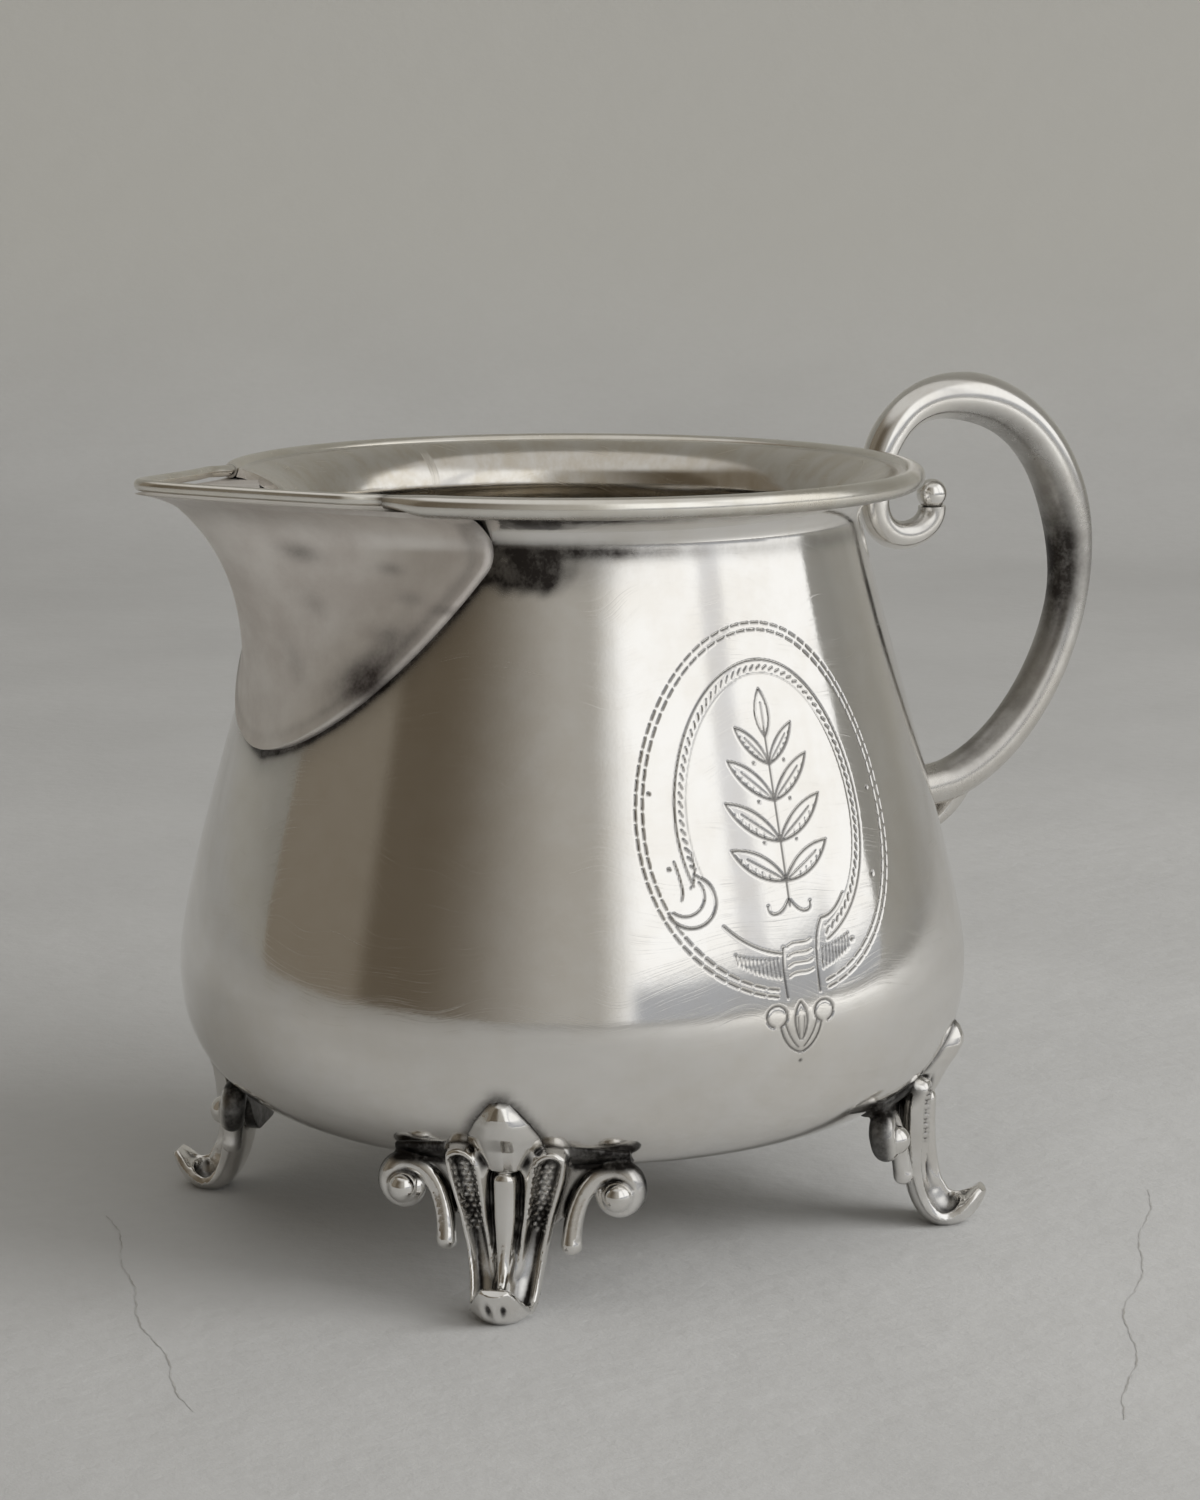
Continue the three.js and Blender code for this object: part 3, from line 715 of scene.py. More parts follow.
def make_body(material):
    outer = spaced_profile()
    shape = outer_line[::12]
    inner = resample((shape - profile_normals(shape) * SHEET)[::-1], 110)
    floor = array([(4.0, BASE_HEIGHT), (11.0, BASE_HEIGHT)])
    profile = vstack([floor, outer, inner, floor[::-1] + (0, SHEET)])
    turn = around_columns()
    plate = garter_engraving()
    across = (turn - ENGRAVED_TURN) * ENGRAVED_RADIUS
    radius = np.repeat(profile[:, :1], len(turn), axis=1)
    cut = plate.sample(*np.broadcast_arrays(across, outer[:, 1:]))
    radius[len(floor):len(floor) + len(outer)] -= CUT_DEPTH * cut
    rings = space(radius * sin(turn), -radius * cos(turn), profile[:, 1:])
    body = build("jug_body", *skin(rings))
    combine(body, spout_cutter(), "DIFFERENCE")

    mesh = body.data
    points = places(mesh)
    x, y, z = points.T
    angle = arctan2(x, -y)
    outside = hypot(x, y) > wall_radius(z) - 0.5 * SHEET
    marks = plate.sample((angle - ENGRAVED_TURN) * ENGRAVED_RADIUS, z) * outside
    lip = np.degrees(abs(arctan2(y, -x)))
    darkening = np.zeros(len(points))
    near_spout = (z > CHIN_HEIGHT - 4) & (lip < 62) & outside
    for hand in (-1, 1):
        away = nearest(points[near_spout], seam_line(hand))
        darkening[near_spout] += 0.95 * hump(away - 0.35, 0.62) + 0.3 * hump(away, 2.2)
    crease = hump(z - 74.9 + 0.008 * (lip - 50), 0.8) * mix(0.3, 0.9, smooth(lip, 92, 64))
    ragged = 0.5 * sin(0.7 * lip + 0.8 * z) + 0.3 * sin(1.7 * lip - 1.3 * z)
    patch = smooth(1.5 - hypot((lip - 52.0) / 6.6, (z - 72.6) / 1.75) + 0.2 * ragged, 0.0, 0.9)
    patch = 0.95 * patch + 0.45 * hump(lip - 57, 11) * hump(z - 73.4, 1.9)
    # Darker round each foot: a soft painted shade round it, with tarnish along the leaf's edge and the
    # apron
    foot = np.zeros(len(points))
    for k in range(4):
        heading = np.radians((k + 0.5) * 90 - FOOT_TURN)
        turned = abs((arctan2(x, y) - heading + pi) % (2 * pi) - pi)
        beside = maximum(turned * 41 - interp(z, *LEAF), 0)
        painted_shade_halo = 0.3 * hump(turned * 40, 9.5) * hump(maximum(z - 17, 0), 2.2) * (z > 12.5)
        round_leaf = 0.8 * hump(hypot(beside, maximum(z - 22.3, 0)), 0.9) * (z > 13)
        at_apron = 0.8 * hump(z - 15.4, 0.9) * (1 - smooth(turned * 41, 10.5, 12.5))
        foot = maximum.reduce([foot, painted_shade_halo, round_leaf, at_apron])
    # Tarnish by the seam, in the crease and in the patch, and the painted shade round the feet
    darkening = np.where(outside, unit(darkening + crease + patch + foot), 0.12)
    note(mesh, mark=unit(marks * 1.3), tarnish=darkening, inside=np.where(outside, 0.0, 1.0),
         across=angle * 38, along=z + np.where(outside, 0, 200))
    finish_piece(body, "body", material, 42)


def envelope(inset):
    """Solid of the body's outside, shrunk a little, that trims what is soldered to it."""
    shape = outer_line[::10]
    shape = shape - profile_normals(shape) * inset
    profile = vstack([[(3.0, BASE_HEIGHT + inset)], shape, [(shape[-1, 0], 95), (3.0, 95)]])
    turn = full_turn(240)
    radius, height = profile.T[:, :, None]
    rings = space(radius * cos(turn), radius * sin(turn), height)
    return build("envelope", *skin(rings))


# ---- spout

def nose_line():
    """Line down the front of the spout, as reach from the axis and height."""
    chin = wall_radius(CHIN_HEIGHT)
    throat_height = mix(CHIN_HEIGHT, LIP_HEIGHT, 0.95)
    throat = mix(chin, SPOUT_REACH, 0.66)
    lower = bezier((
        (chin - SPOUT_WALL, CHIN_HEIGHT),
        (chin + 1.8, mix(CHIN_HEIGHT, LIP_HEIGHT, 0.15)),
        (mix(chin, throat, -0.16), mix(CHIN_HEIGHT, LIP_HEIGHT, 0.62)),
        (throat, throat_height),
    ), steps)
    upper = bezier((
        (throat, throat_height),
        (mix(throat, SPOUT_REACH, 0.4), mix(throat_height, LIP_HEIGHT, 0.8)),
        (SPOUT_REACH, LIP_HEIGHT),
    ), steps)
    return vstack([lower, upper[1:]])


nose_points = nose_line()


def section_radius(nose, height, angle, inset):
    """Distance from the axis of a rounded V section, at an angle from the middle of the spout."""
    rise = spout_rise(height)
    seam = seam_angle(maximum(rise, 0.02))
    wall = wall_radius(height)
    bend = mix(12.0, 2.7, rise)
    depth = maximum(nose - wall * cos(seam), 0.5)
    spread = wall * sin(seam) / sqrt((depth + bend) ** 2 - bend ** 2)
    slant = sqrt(1 + 1 / spread ** 2)
    inner = maximum(bend + inset * (1 - slant), 0.2)
    whole = nose - inset + inner
    q = 1 - (np.tan(angle) / spread) ** 2
    q = np.where(abs(q) < 1e-4, 1e-4, q)
    reach = (whole - sqrt(maximum(whole ** 2 - q * (whole ** 2 - inner ** 2), 0))) / q
    return reach / cos(angle)


def lip_dip(radius, height):
    """How far the spout's lip lies below its tip."""
    out = unit((radius - RIM_RADIUS) / (SPOUT_REACH - RIM_RADIUS))
    return LIP_RISE * unit(spout_rise(height)) ** 3 * (1 - out)


def spout_cutter():
    """Solid that opens the body into the spout."""
    rings = []
    angle = linspace(-OPENING_ANGLE, OPENING_ANGLE, 65)
    for nose, height in resample(nose_points, 60):
        radius = section_radius(nose, height, angle, SPOUT_WALL)
        front = beside_spout(radius, angle, height - lip_dip(radius, height))
        rings.append(vstack([[(-6.0, 0, height - LIP_RISE)], front]))
    rings.append(rings[-1] + (0, 0, 8))
    return build("spout_cutter", *skin(array(rings)))


# Stains on the spout: turn from its middle, height, width, tallness and share of black
SPOUT_SPOTS = (
    (13, 74.2, 2.4, 0.9, 0.5), (27, 72.8, 2.2, 0.6, 0.4), (31, 70.0, 2.4, 0.7, 0.35),
    (14, 69.0, 2.0, 1.3, 0.2), (27, 66.5, 3.5, 0.9, 0.25), (25, 61.2, 5.0, 2.0, 0.5),
    (38, 69.0, 2.5, 0.5, 0.35), (10, 63.0, 2.0, 2.2, 0.2),
)


def make_spout(material):
    levels = nose_points[1:]
    stops = (0.0015, 0.06, 22), (0.06, 0.9, 64), (0.9, 1.0, 26)
    place = np.concatenate([linspace(a, b, count)[k > 0:] for k, (a, b, count) in enumerate(stops)])
    along = lengths(levels)
    by_length = interp(place, spout_rise(levels[:, 1]), along)
    by_length[-25:] = linspace(by_length[-26], along[-1], 26)[1:]
    nose, height = at_length(levels, by_length).T[:, :, None]
    edge = seam_angle(spout_rise(height))
    wall = wall_radius(height)
    angle = linspace(-1, 1, 121) * edge
    skin_out = section_radius(nose, height, angle, 0.0)
    floor = wall + SEAM_LIFT
    near = unit(1 - abs(skin_out - floor) / SEAM_EASE)
    outer = maximum(skin_out, floor) + SEAM_EASE * 0.25 * near ** 2
    inner = maximum(section_radius(nose, height, angle, SPOUT_WALL), wall - SEAM_SINK)
    # The sheet's edge on the body is rounded over
    roll = linspace(0, pi / 2, 7)[1:]
    roll_out = SEAM_LIFT * (cos(roll) - 1.0) - SEAM_SINK * (1 - cos(roll))
    roll_side = SEAM_ROLL * sin(roll) / wall
    outer = hstack([outer[:, :1] + roll_out[::-1], outer, outer[:, -1:] + roll_out])
    turned = hstack([-edge - roll_side[:, ::-1], angle, edge + roll_side])
    ring_out = beside_spout(outer, turned, height - lip_dip(outer, height))
    ring_in = beside_spout(inner, angle, height - lip_dip(inner, height))[:, ::-1]
    spout = build("jug_spout", *skin(hstack([ring_out, ring_in])))
    mesh = spout.data
    points = places(mesh)
    x, y, z = points.T
    lip = abs(arctan2(y, -x))
    away = minimum(*(nearest(points, seam_line(hand)[::2]) for hand in (-1, 1)))
    low = hump(lip - 0.52, 0.2) * hump(z - 62, 4.5)
    darkening = 0.85 * low * hump(away - 2.4, 1.6) + 0.2 * smooth(z, 76.0, 79.0)
    for turn, level, wide, tall, share in SPOUT_SPOTS:
        up = z - level
        darkening += share * hump(np.degrees(lip) - turn + 0.6 * up, wide) * hump(up, tall)
    darkening += 0.3 * hump(away - 1.3, 0.5) * smooth(z, 52, 60)
    hollow = hypot(x, y) < wall_radius(z) + 0.1
    note(mesh, tarnish=unit(darkening + 0.15 * hollow), across=lip * np.sign(y) * 40, along=z)
    finish_piece(spout, "spout", material, 60)


def lip_line(count):
    """Line of the wire along the lip, easing into the circle of the mouth at both ends."""
    angle = linspace(-LIP_JOIN, LIP_JOIN, count)
    lip = section_radius(SPOUT_REACH, LIP_HEIGHT, angle, SPOUT_WALL / 2)
    radius = (lip ** LIP_POWER + RIM_RADIUS ** LIP_POWER) ** (1 / LIP_POWER)
    radius = mix(radius, RIM_RADIUS, smooth(abs(angle), 0.8 * LIP_JOIN, LIP_JOIN))
    out = unit((radius - RIM_RADIUS) / (SPOUT_REACH - SPOUT_WALL / 2 - RIM_RADIUS))
    height = mix(RIM_HEIGHT + 0.38, LIP_HEIGHT + 0.9, out)
    return resample(beside_spout(radius, angle, height), count)


def make_wires(material):
    gap = LIP_JOIN - 0.15 / RIM_RADIUS
    angle = linspace(gap - pi, pi - gap, 260)
    line = space(RIM_RADIUS * cos(angle), RIM_RADIUS * sin(angle), RIM_HEIGHT)
    place = minimum(lengths(line), lengths(line)[::-1])
    radii = RIM_WIRE / 2 * mix(0.62, 1.0, smooth(place, 0.0, 5.0))
    line[:, 2] += 0.6 * (RIM_WIRE / 2 - radii)
    wires = (
        ("jug_rim_wire", line, radii, "rim_wire"),
        ("jug_lip_wire", lip_line(180), LIP_WIRE / 2, "spout_lip_wire"),
    )
    for name, path, thick, node in wires:
        wire = build(name, *tube(path, thick, 20))
        x, y, z = places(wire.data).T
        # Painted shade on the wires' undersides, and a dark joint with painted shade where the lip wire
        # meets the ends of the rim wire
        painted_under_shade = smooth(z, RIM_HEIGHT - 0.2, RIM_HEIGHT - 1.0)
        lip_turn = np.degrees(abs(arctan2(y, -x)))
        note(wire.data, tarnish=unit(0.5 * painted_under_shade + 0.6 * hump(lip_turn - 30.0, 0.9)))
        finish_piece(wire, node, material, 70)


# ---- handle

def handle_curves():
    """Curves of the bar from the end of its curl to the body, each starting where the last one ends."""
    knee = RIM_RADIUS + RIM_WIRE / 2 + BAR_RIM / 2
    curl_x = knee - BAR_RIM / 8
    low = RIM_HEIGHT - CURL_DROP
    low_x = wall_radius(HANDLE_LOW) + 9.38
    top_x = mix(knee, HANDLE_REACH, 0.355)
    chain = [
        (curl_x + CURL_WIDTH, low + CURL_WIDTH * 0.39),
        (curl_x + CURL_WIDTH * 1.05, low - CURL_WIDTH * 0.04),
        (curl_x + CURL_WIDTH * 0.04, low - CURL_WIDTH * 0.25),
        (curl_x, low + CURL_WIDTH * 0.51),
        (curl_x, low + CURL_WIDTH * 0.7),
        (knee, RIM_HEIGHT - CURL_DROP * 0.3),
        (knee, RIM_HEIGHT - RIM_WIRE / 2),
        (knee, RIM_HEIGHT),
        (mix(knee, top_x, 0.22), HANDLE_TOP),
        (top_x, HANDLE_TOP),
        (mix(top_x, HANDLE_REACH, 0.6), HANDLE_TOP),
        (HANDLE_REACH, mix(HANDLE_MIDDLE, HANDLE_TOP, 0.56)),
        (HANDLE_REACH, HANDLE_MIDDLE),
        (HANDLE_REACH, mix(HANDLE_MIDDLE, HANDLE_LOW, 0.37)),
        (mix(HANDLE_REACH, low_x, 0.4), mix(HANDLE_MIDDLE, HANDLE_LOW, 0.88)),
        (low_x, HANDLE_LOW),
        (low_x - 12.88, HANDLE_LOW - 1.84),
    ]
    return [chain[k:k + 4] for k in range(0, len(chain) - 1, 3)]


def handle_thickness(t):
    place = array([0, 0.1, 0.2, 0.33, 0.48, 0.62, 1])
    thick = array([BAR_TIP, 3.3, BAR_RIM, BAR_TOP, BAR_TOP, BAR_MIDDLE, 4.8])
    k = clip(np.searchsorted(place, t) - 1, 0, len(place) - 2)
    return mix(thick[k], thick[k + 1], smooth(t, place[k], place[k + 1]))


def flat_bar(line, thickness, sides=48):
    """Bar along a line in the plane of the handle, a little broader than thick, softly faceted."""
    along = tangents(line)
    turn = full_turn(sides)
    facet = 1 + 0.01 * cos(6 * turn)
    out = np.outer(thickness / 2, cos(turn) * facet)
    across = np.outer(thickness / 2 * 1.12, sin(turn) * facet)
    x = line[:, :1] - along[:, 1:] * out
    z = line[:, 1:] + along[:, :1] * out
    return skin(space(x, across, z))


def make_handle(material, bead_material):
    curves = handle_curves()
    dense = vstack([bezier(points, even(120))[:-1] for points in curves] + [[curves[-1][-1]]])
    line = resample(dense, 320)
    t = even(len(line))
    thick = handle_thickness(t)
    meets = line[:, 0] - wall_radius(line[:, 1])
    collar = (t > 0.8) * np.exp(-maximum(meets, 0) / 0.9)
    thick = thick * (1 + 0.2 * collar)
    handle = build("jug_handle", *flat_bar(line, thick))
    root = bezier(curves[4], 0.93)[0]
    spur = bezier((root, root + (-0.85, -4.25), root + (-5.95, -6.63)), even(50))
    spur_thick = mix(3.6, 0.9, even(50))
    spur_thick[-6:] *= linspace(1, 0.25, 6)
    combine(handle, build("spur", *flat_bar(spur, spur_thick)), "UNION")
    combine(handle, envelope(0.3), "DIFFERENCE")
    points = places(handle.data)
    x, y, z = points.T
    # Painted shade, with tarnish at the joint, where the lower end meets the body
    near_wall = hump(maximum(hypot(x, y) - wall_radius(z), 0), 1.3) * (z < 60)
    # Painted shade inside the curl by the rim
    inner = hump(hypot(x - 43.0, z - 75.0), 3.0)
    facing = directions(handle.data)
    inward = -(facing[:, 0] * (x - 52) + facing[:, 2] * (z - 64)) / hypot(x - 52, z - 64)
    # Painted shade on the faces that turn inwards
    painted_inner_shade = 0.5 * smooth(inward, -0.1, 0.8) * smooth(x, 44, 52)
    # Painted dark reflection on the outer back run of the handle
    worn_and_painted_reflection = 0.55 * hump(z - 66, 9.0) * smooth(x, 60, 64) * (1 - 0.7 * smooth(inward, -0.6, -1.0))
    # Painted shade, darker towards the bottom
    low = 0.12 * smooth(z, 58, 48)
    note(handle.data, tarnish=unit(0.75 * near_wall + 0.55 * inner + painted_inner_shade + worn_and_painted_reflection + low))
    finish_piece(handle, "handle", material, 55)

    # Ball at the end of the curl, on a short neck
    away = -tangents(line)[0]
    centre = line[0] + away * (BEAD / 2 - 0.35)
    turn = full_turn(40)
    sweep = linspace(-0.98, 0.78, 34) * pi / 2
    outline = [(-BEAD / 2 * sin(a), BEAD / 2 * cos(a)) for a in sweep]
    outline += [(-BEAD / 2 - 0.1, 0.62), (-BEAD / 2 - 0.5, 0.8)]
    rings = []
    for h, r in outline:
        middle = centre + away * h
        out = r * cos(turn)
        rings.append(space(middle[0] - away[1] * out, r * sin(turn), middle[1] + away[0] * out))
    knob = build("jug_handle_bead", *skin(array(rings)))
    spread = places(knob.data)[:, [0, 2]] - centre
    note(knob.data, tarnish=0.8 * smooth(spread @ away, -0.8, -1.5))
    finish_piece(knob, "handle_bead", bead_material, 60)


# ---- feet

under_points = bezier(UNDERSIDE, steps)
under_length = lengths(under_points)
LEG_TOP = FOOT_RADIUS - 3.565
LEG_SEAT = interp(LEG_TOP, under_points[:, 0], under_points[:, 1])
LEG = (
    (LEG_TOP, LEG_SEAT + LEG_RISE),
    (FOOT_RADIUS - 6.1, LEG_SEAT * 0.57),
    (FOOT_RADIUS - 3.8, -5.4),
    (FOOT_RADIUS + 2.8, 3.9),
)
leg_points = bezier(LEG, steps)
leg_length = lengths(leg_points)


def leg_place(height):
    """Length along the upper part of the leg at a height."""
    return interp(-height, -leg_points[:400, 1], leg_length[:400])


def on_leg(x, out, t):
    """Point beside the line of the leg: across, out from its front, at a place along it."""
    ahead = minimum(t + 1e-3, 1)
    middle, front, back = (bezier(LEG, place.ravel())[:, None] for place in (t, ahead, ahead - 2e-3))
    along = (front - back) / np.linalg.norm(front - back, axis=-1, keepdims=True)
    return space(x, middle[..., 0] - along[..., 1] * out, middle[..., 1] + along[..., 0] * out)


# Half width of the leg by the place along it
LEG_WIDTHS = (
    [0, 0.1, 0.17, 0.3, 0.42, 0.55, 0.75, 0.9, 1],
    [6.7, 6.4, 6.0, 4.9, 4.2, 3.75, 3.4, 2.75, 1.9],
)


def leg_half(t):
    rounding = 1 - 0.5 * unit((t - 0.92) / 0.08) ** 3
    return interp(t, *LEG_WIDTHS) * sqrt(rounding)


def leg_relief(x, t, half):
    """Rise of the leg's front: two rimmed hollow panels with a finger between them."""
    along = interp(t, steps, leg_length)
    side = abs(x)
    finger = interp(t, [0.2, 0.3, 0.42, 0.55, 0.86], [1.15, 1.1, 0.8, 0.45, 0.25])
    reach = hypot(x, maximum(leg_place(13.5) - along, 0))
    inner = interp(t, [0.1, 0.17, 0.3, 0.42, 0.55, 0.86], [3.3, 2.8, 2.3, 1.5, 0.75, 0.4])
    outer = half - 0.65
    middle, width = (inner + outer) / 2, (outer - inner) / 2
    past = maximum(leg_place(15.0) - along, 0) + 0.8 * maximum(along - 0.85 * leg_length[-1], 0)
    edge = hypot(side - middle, past) - width
    panel = -mix(1.1, 0.6, smooth(t, 0.3, 0.5)) * smooth(edge, 0.05, -0.7)
    tilt = -mix(0.12, 0.42, smooth(t, 0.2, 0.45)) * clip(side - inner + 0.3, 0, 4)
    rim = 0.42 * hump(edge - 0.3, 0.28)
    upper = 1 - smooth(t, 0.38, 0.6)
    groove = -1.25 * hump(reach - finger - 0.4, 0.3) * upper
    dome = 0.75 * sqrt(unit(1 - (reach / finger) ** 2))
    above = -4.5 * smooth(edge, 0.6, 1.3) * (along < leg_place(14.2)) * smooth(side, 2.9, 3.5)
    return panel + tilt + rim + groove + dome + above


def leg_shape():
    """Leg with its relief in front, a rounded sole and a turned-up toe with two dents."""
    t = even(200)[:, None]
    half = leg_half(t)
    tip = unit((t - 0.87) / 0.13)
    thick = LEG_THICK / 2 * (1 + 0.14 * sin(pi * t)) * mix(1, 0.4, tip ** 2)
    s = linspace(-1, 1, 141)
    corner = unit((abs(s) - 0.9) / 0.1) ** 2
    front = thick * (1 - 1.1 * corner) + leg_relief(s * half, t, half) * (1 - corner) * (1 - tip)
    back_s = linspace(1, -1, 61)[1:-1]
    power = mix(6.0, 2.2, smooth(t, 0.5, 0.8))
    back = -thick * clip(1 - abs(back_s) ** power, 0.1, 1)
    dents = hump(abs(back_s * half) - 0.8, 0.42) * hump(t - 0.93, 0.035)
    back = back + 0.6 * dents
    upper = on_leg(s * half, front, t)
    lower = on_leg(back_s * half * 0.96, back, t)
    return skin(hstack([upper, lower]))


def round_body(x, radius, height):
    """Point at a distance from the axis of the jug, moved across."""
    return space(x, sqrt(maximum(radius ** 2 - x ** 2, 0)), height)


def leaf_shape():
    """Blunt diamond leaf that rises from the leg onto the body, with bevelled edges."""
    height = linspace(14.6, 22.5, 80)[:, None]
    half = interp(height, *LEAF)
    front = interp(height, *LEAF_FRONT)
    wall = wall_radius(height)
    s = linspace(-1, 1, 61)
    bevel = unit((abs(s) - 0.36) / 0.64) ** 1.5
    radius = mix(front, minimum(wall + 0.1, front), bevel) - 0.5 * abs(s) ** 1.2 * (1 - bevel)
    upper = round_body(s * half, radius, height)
    lower = round_body(s[::-1] * half * 0.9, wall - 1.6, height)
    return skin(hstack([upper, lower]))


def on_body(place, x, away):
    """Point against the underside of the body, moved across and away from the wall."""
    radius, height, along_r, along_z = (
        interp(place, under_length, column)
        for column in hstack([under_points, tangents(under_points)]).T)
    return round_body(x, radius + along_z * away, height - along_r * away)


def apron_shape():
    """Rough thin plate under the body that carries the leg and the scrolls."""
    s = linspace(-1, 1, 90)[:, None]
    turn = full_turn(24)
    root = interp(36.6, under_points[:, 0], under_length)
    half = mix(2.2, 1.5, s ** 2) + 0.12 * sin(9 * s + 1.0) + 0.06 * sin(23 * s)
    thick = mix(0.8, 0.65, s ** 2)
    place = root - 1.1 * s ** 2 + half * sin(turn)
    return skin(on_body(place, 11.9 * s, thick * cos(turn)))


SCROLL_ARM = (
    (SCROLL_SPREAD * 0.6, SCROLL_HEIGHT * 0.47),
    (SCROLL_SPREAD * 0.57, SCROLL_HEIGHT * 0.77),
    (SCROLL_SPREAD * 0.66, SCROLL_HEIGHT + SCROLL_RADIUS),
    (SCROLL_SPREAD, SCROLL_HEIGHT + SCROLL_RADIUS),
)


def scroll_line(hand, inward=0.0, out=0.0, last=5.4):
    """Line of a scroll: an arm that rises beside the leg and winds into a volute."""
    arm = bezier(SCROLL_ARM, even(60))
    along = tangents(arm)
    arm = arm + inward * np.c_[along[:, 1], -along[:, 0]]
    turned = linspace(0, last, 90)[1:]
    radius = SCROLL_RADIUS * (1 - 0.1 * turned) - inward
    volute = radius[:, None] * np.c_[sin(turned), cos(turned)]
    flat = vstack([arm, volute + (SCROLL_SPREAD, SCROLL_HEIGHT)])
    back = np.r_[mix(5.0, 7.0, even(60)), np.full(89, 7.0)]
    proud = np.r_[np.zeros(60), 0.13 * SCROLL_RADIUS * maximum(turned - 1.2, 0)]
    return np.c_[hand * flat[:, 0], FOOT_RADIUS - back + proud + out, flat[:, 1]]


def scroll_shapes(hand):
    """Round ribbon with a ridge on its inner side, wound about a ball."""
    line = scroll_line(hand)
    share = lengths(line) / lengths(line)[-1]
    thick = interp(share, [0, 0.12, 0.3, 0.5, 0.66, 0.85, 1], [1.2, 1.0, 0.95, 1.15, 1.4, 1.3, 0.9])
    line = resample(line, 150)
    thick = interp(even(150), share, thick)
    ridge = resample(scroll_line(hand, 0.55, 0.62, 4.6)[8:], 120)
    centre = (hand * (SCROLL_SPREAD + 0.2), scroll_line(hand)[-1, 1] + 0.25, SCROLL_HEIGHT - 0.3)
    return [
        tube(line, rounded(thick, line), 18),
        tube(ridge, rounded(0.34, ridge), 10),
        ball(centre, SCROLL_BALL),
    ]


def web_shape():
    """Plate behind the leg that ties the scrolls to it."""
    wide = SCROLL_SPREAD - SCROLL_RADIUS
    corners = ((2.6, 7.4), (wide * 0.6, 8.2), (wide * 0.78, SCROLL_HEIGHT - 1.0))
    curve = bezier(corners, even(20))
    half = vstack([curve, [(wide, SCROLL_HEIGHT + 0.6), (wide, LEG_SEAT + 2 * LEG_RISE)]])
    x, z = vstack([half, half[::-1] * (-1, 1)]).T
    front = FOOT_RADIUS - 6.1
    return skin(array([space(x, y, z) for y in (front - 1.4, front)]))


def fish_scales(points):
    """Where the leg's panels have punched scales, and the dome of each scale."""
    x, y, z = points.T
    lean = abs(x) - 0.14 * (z - 8.0)
    row = np.floor(z / SCALE_HEIGHT)
    column = lean / SCALE_WIDTH + 0.5 * (row % 2)
    u = (column - np.floor(column) - 0.5) * SCALE_WIDTH
    v = z - (row + 0.5) * SCALE_HEIGHT
    dome = unit(1 - (u / 0.31) ** 2 - (v / 0.29) ** 2) ** 0.7
    low = 8.2 + 1.2 * (abs(x) < 2.7)
    zone = smooth(z, low - 0.4, low + 0.3) * (1 - smooth(z, 15.2, 16.0))
    zone = zone * smooth(lean, 1.75, 2.1) * (1 - smooth(lean, 3.6, 4.1)) * (y > FOOT_RADIUS - 5.6)
    return zone, dome


def make_feet(material):
    parts = [leg_shape(), leaf_shape(), apron_shape(), web_shape()]
    for hand in (-1, 1):
        parts.extend(scroll_shapes(hand))
    foot = build("jug_foot", *joined(parts))
    remesh = foot.modifiers.new("cast", "REMESH")
    remesh.mode = "VOXEL"
    remesh.voxel_size = VOXEL * MM
    settle(foot)
    mesh = foot.data
    points = neighbours_mean(mesh, places(mesh), 2)
    points[:, 2] = maximum(points[:, 2], 0.0)
    move(mesh, points)
    outwards = directions(mesh)
    zone, dome = fish_scales(points)
    facing = smooth(outwards[:, 1], 0.25, 0.6)
    move(mesh, points + outwards * (zone * facing * (dome - 0.4) * SCALE_RELIEF)[:, None])
    combine(foot, envelope(0.35), "DIFFERENCE")
    mesh = foot.data
    points = places(mesh)
    outwards = directions(mesh)
    eased = neighbours_mean(mesh, points, 34)
    hollow = clip(np.einsum("ij,ij->i", eased - points, outwards), -1, 1)
    hollow = unit(11.0 * neighbours_mean(mesh, hollow[:, None], 3)[:, 0] - 0.08)
    zone, dome = fish_scales(points)
    facing = smooth(outwards[:, 1], 0.1, 0.5)
    x, y, z = points.T
    # Painted shade in the hollow behind the leg and scrolls, on their backs and on the web plate
    back = 0.95 * smooth(y, FOOT_RADIUS - 5.6, FOOT_RADIUS - 6.6) * (z > 4)
    # Painted shade where the toe meets the floor
    painted_under_shade = 0.3 * smooth(z, 0.8, 0.0)
    seam = 0.8 * smooth(hypot(x, y) - wall_radius(z), 0.6, 0.0)
    plate = smooth(abs(x), 5.9, 6.4) * smooth(z - 0.05 * abs(x), 13.2, 14.0)
    between = zone * facing * mix(0.9, 0.15, smooth(dome, 0.0, 0.5))
    note(mesh, tarnish=maximum.reduce([hollow, back, painted_under_shade, seam, plate, between]))
    foot_names = ("foot_back_handle", "foot_front_handle", "foot_front_spout", "foot_back_spout")
    for k, node in enumerate(foot_names):
        heading = math.radians(-(k + 0.5) * 90 + FOOT_TURN)
        c, s = math.cos(heading), math.sin(heading)
        copy = placed("jug_" + node, mesh.copy())
        move(copy.data, np.c_[x * c - y * s, x * s + y * c, z])
        finish_piece(copy, node, material, 75)
    drop(foot)


# ---- stage

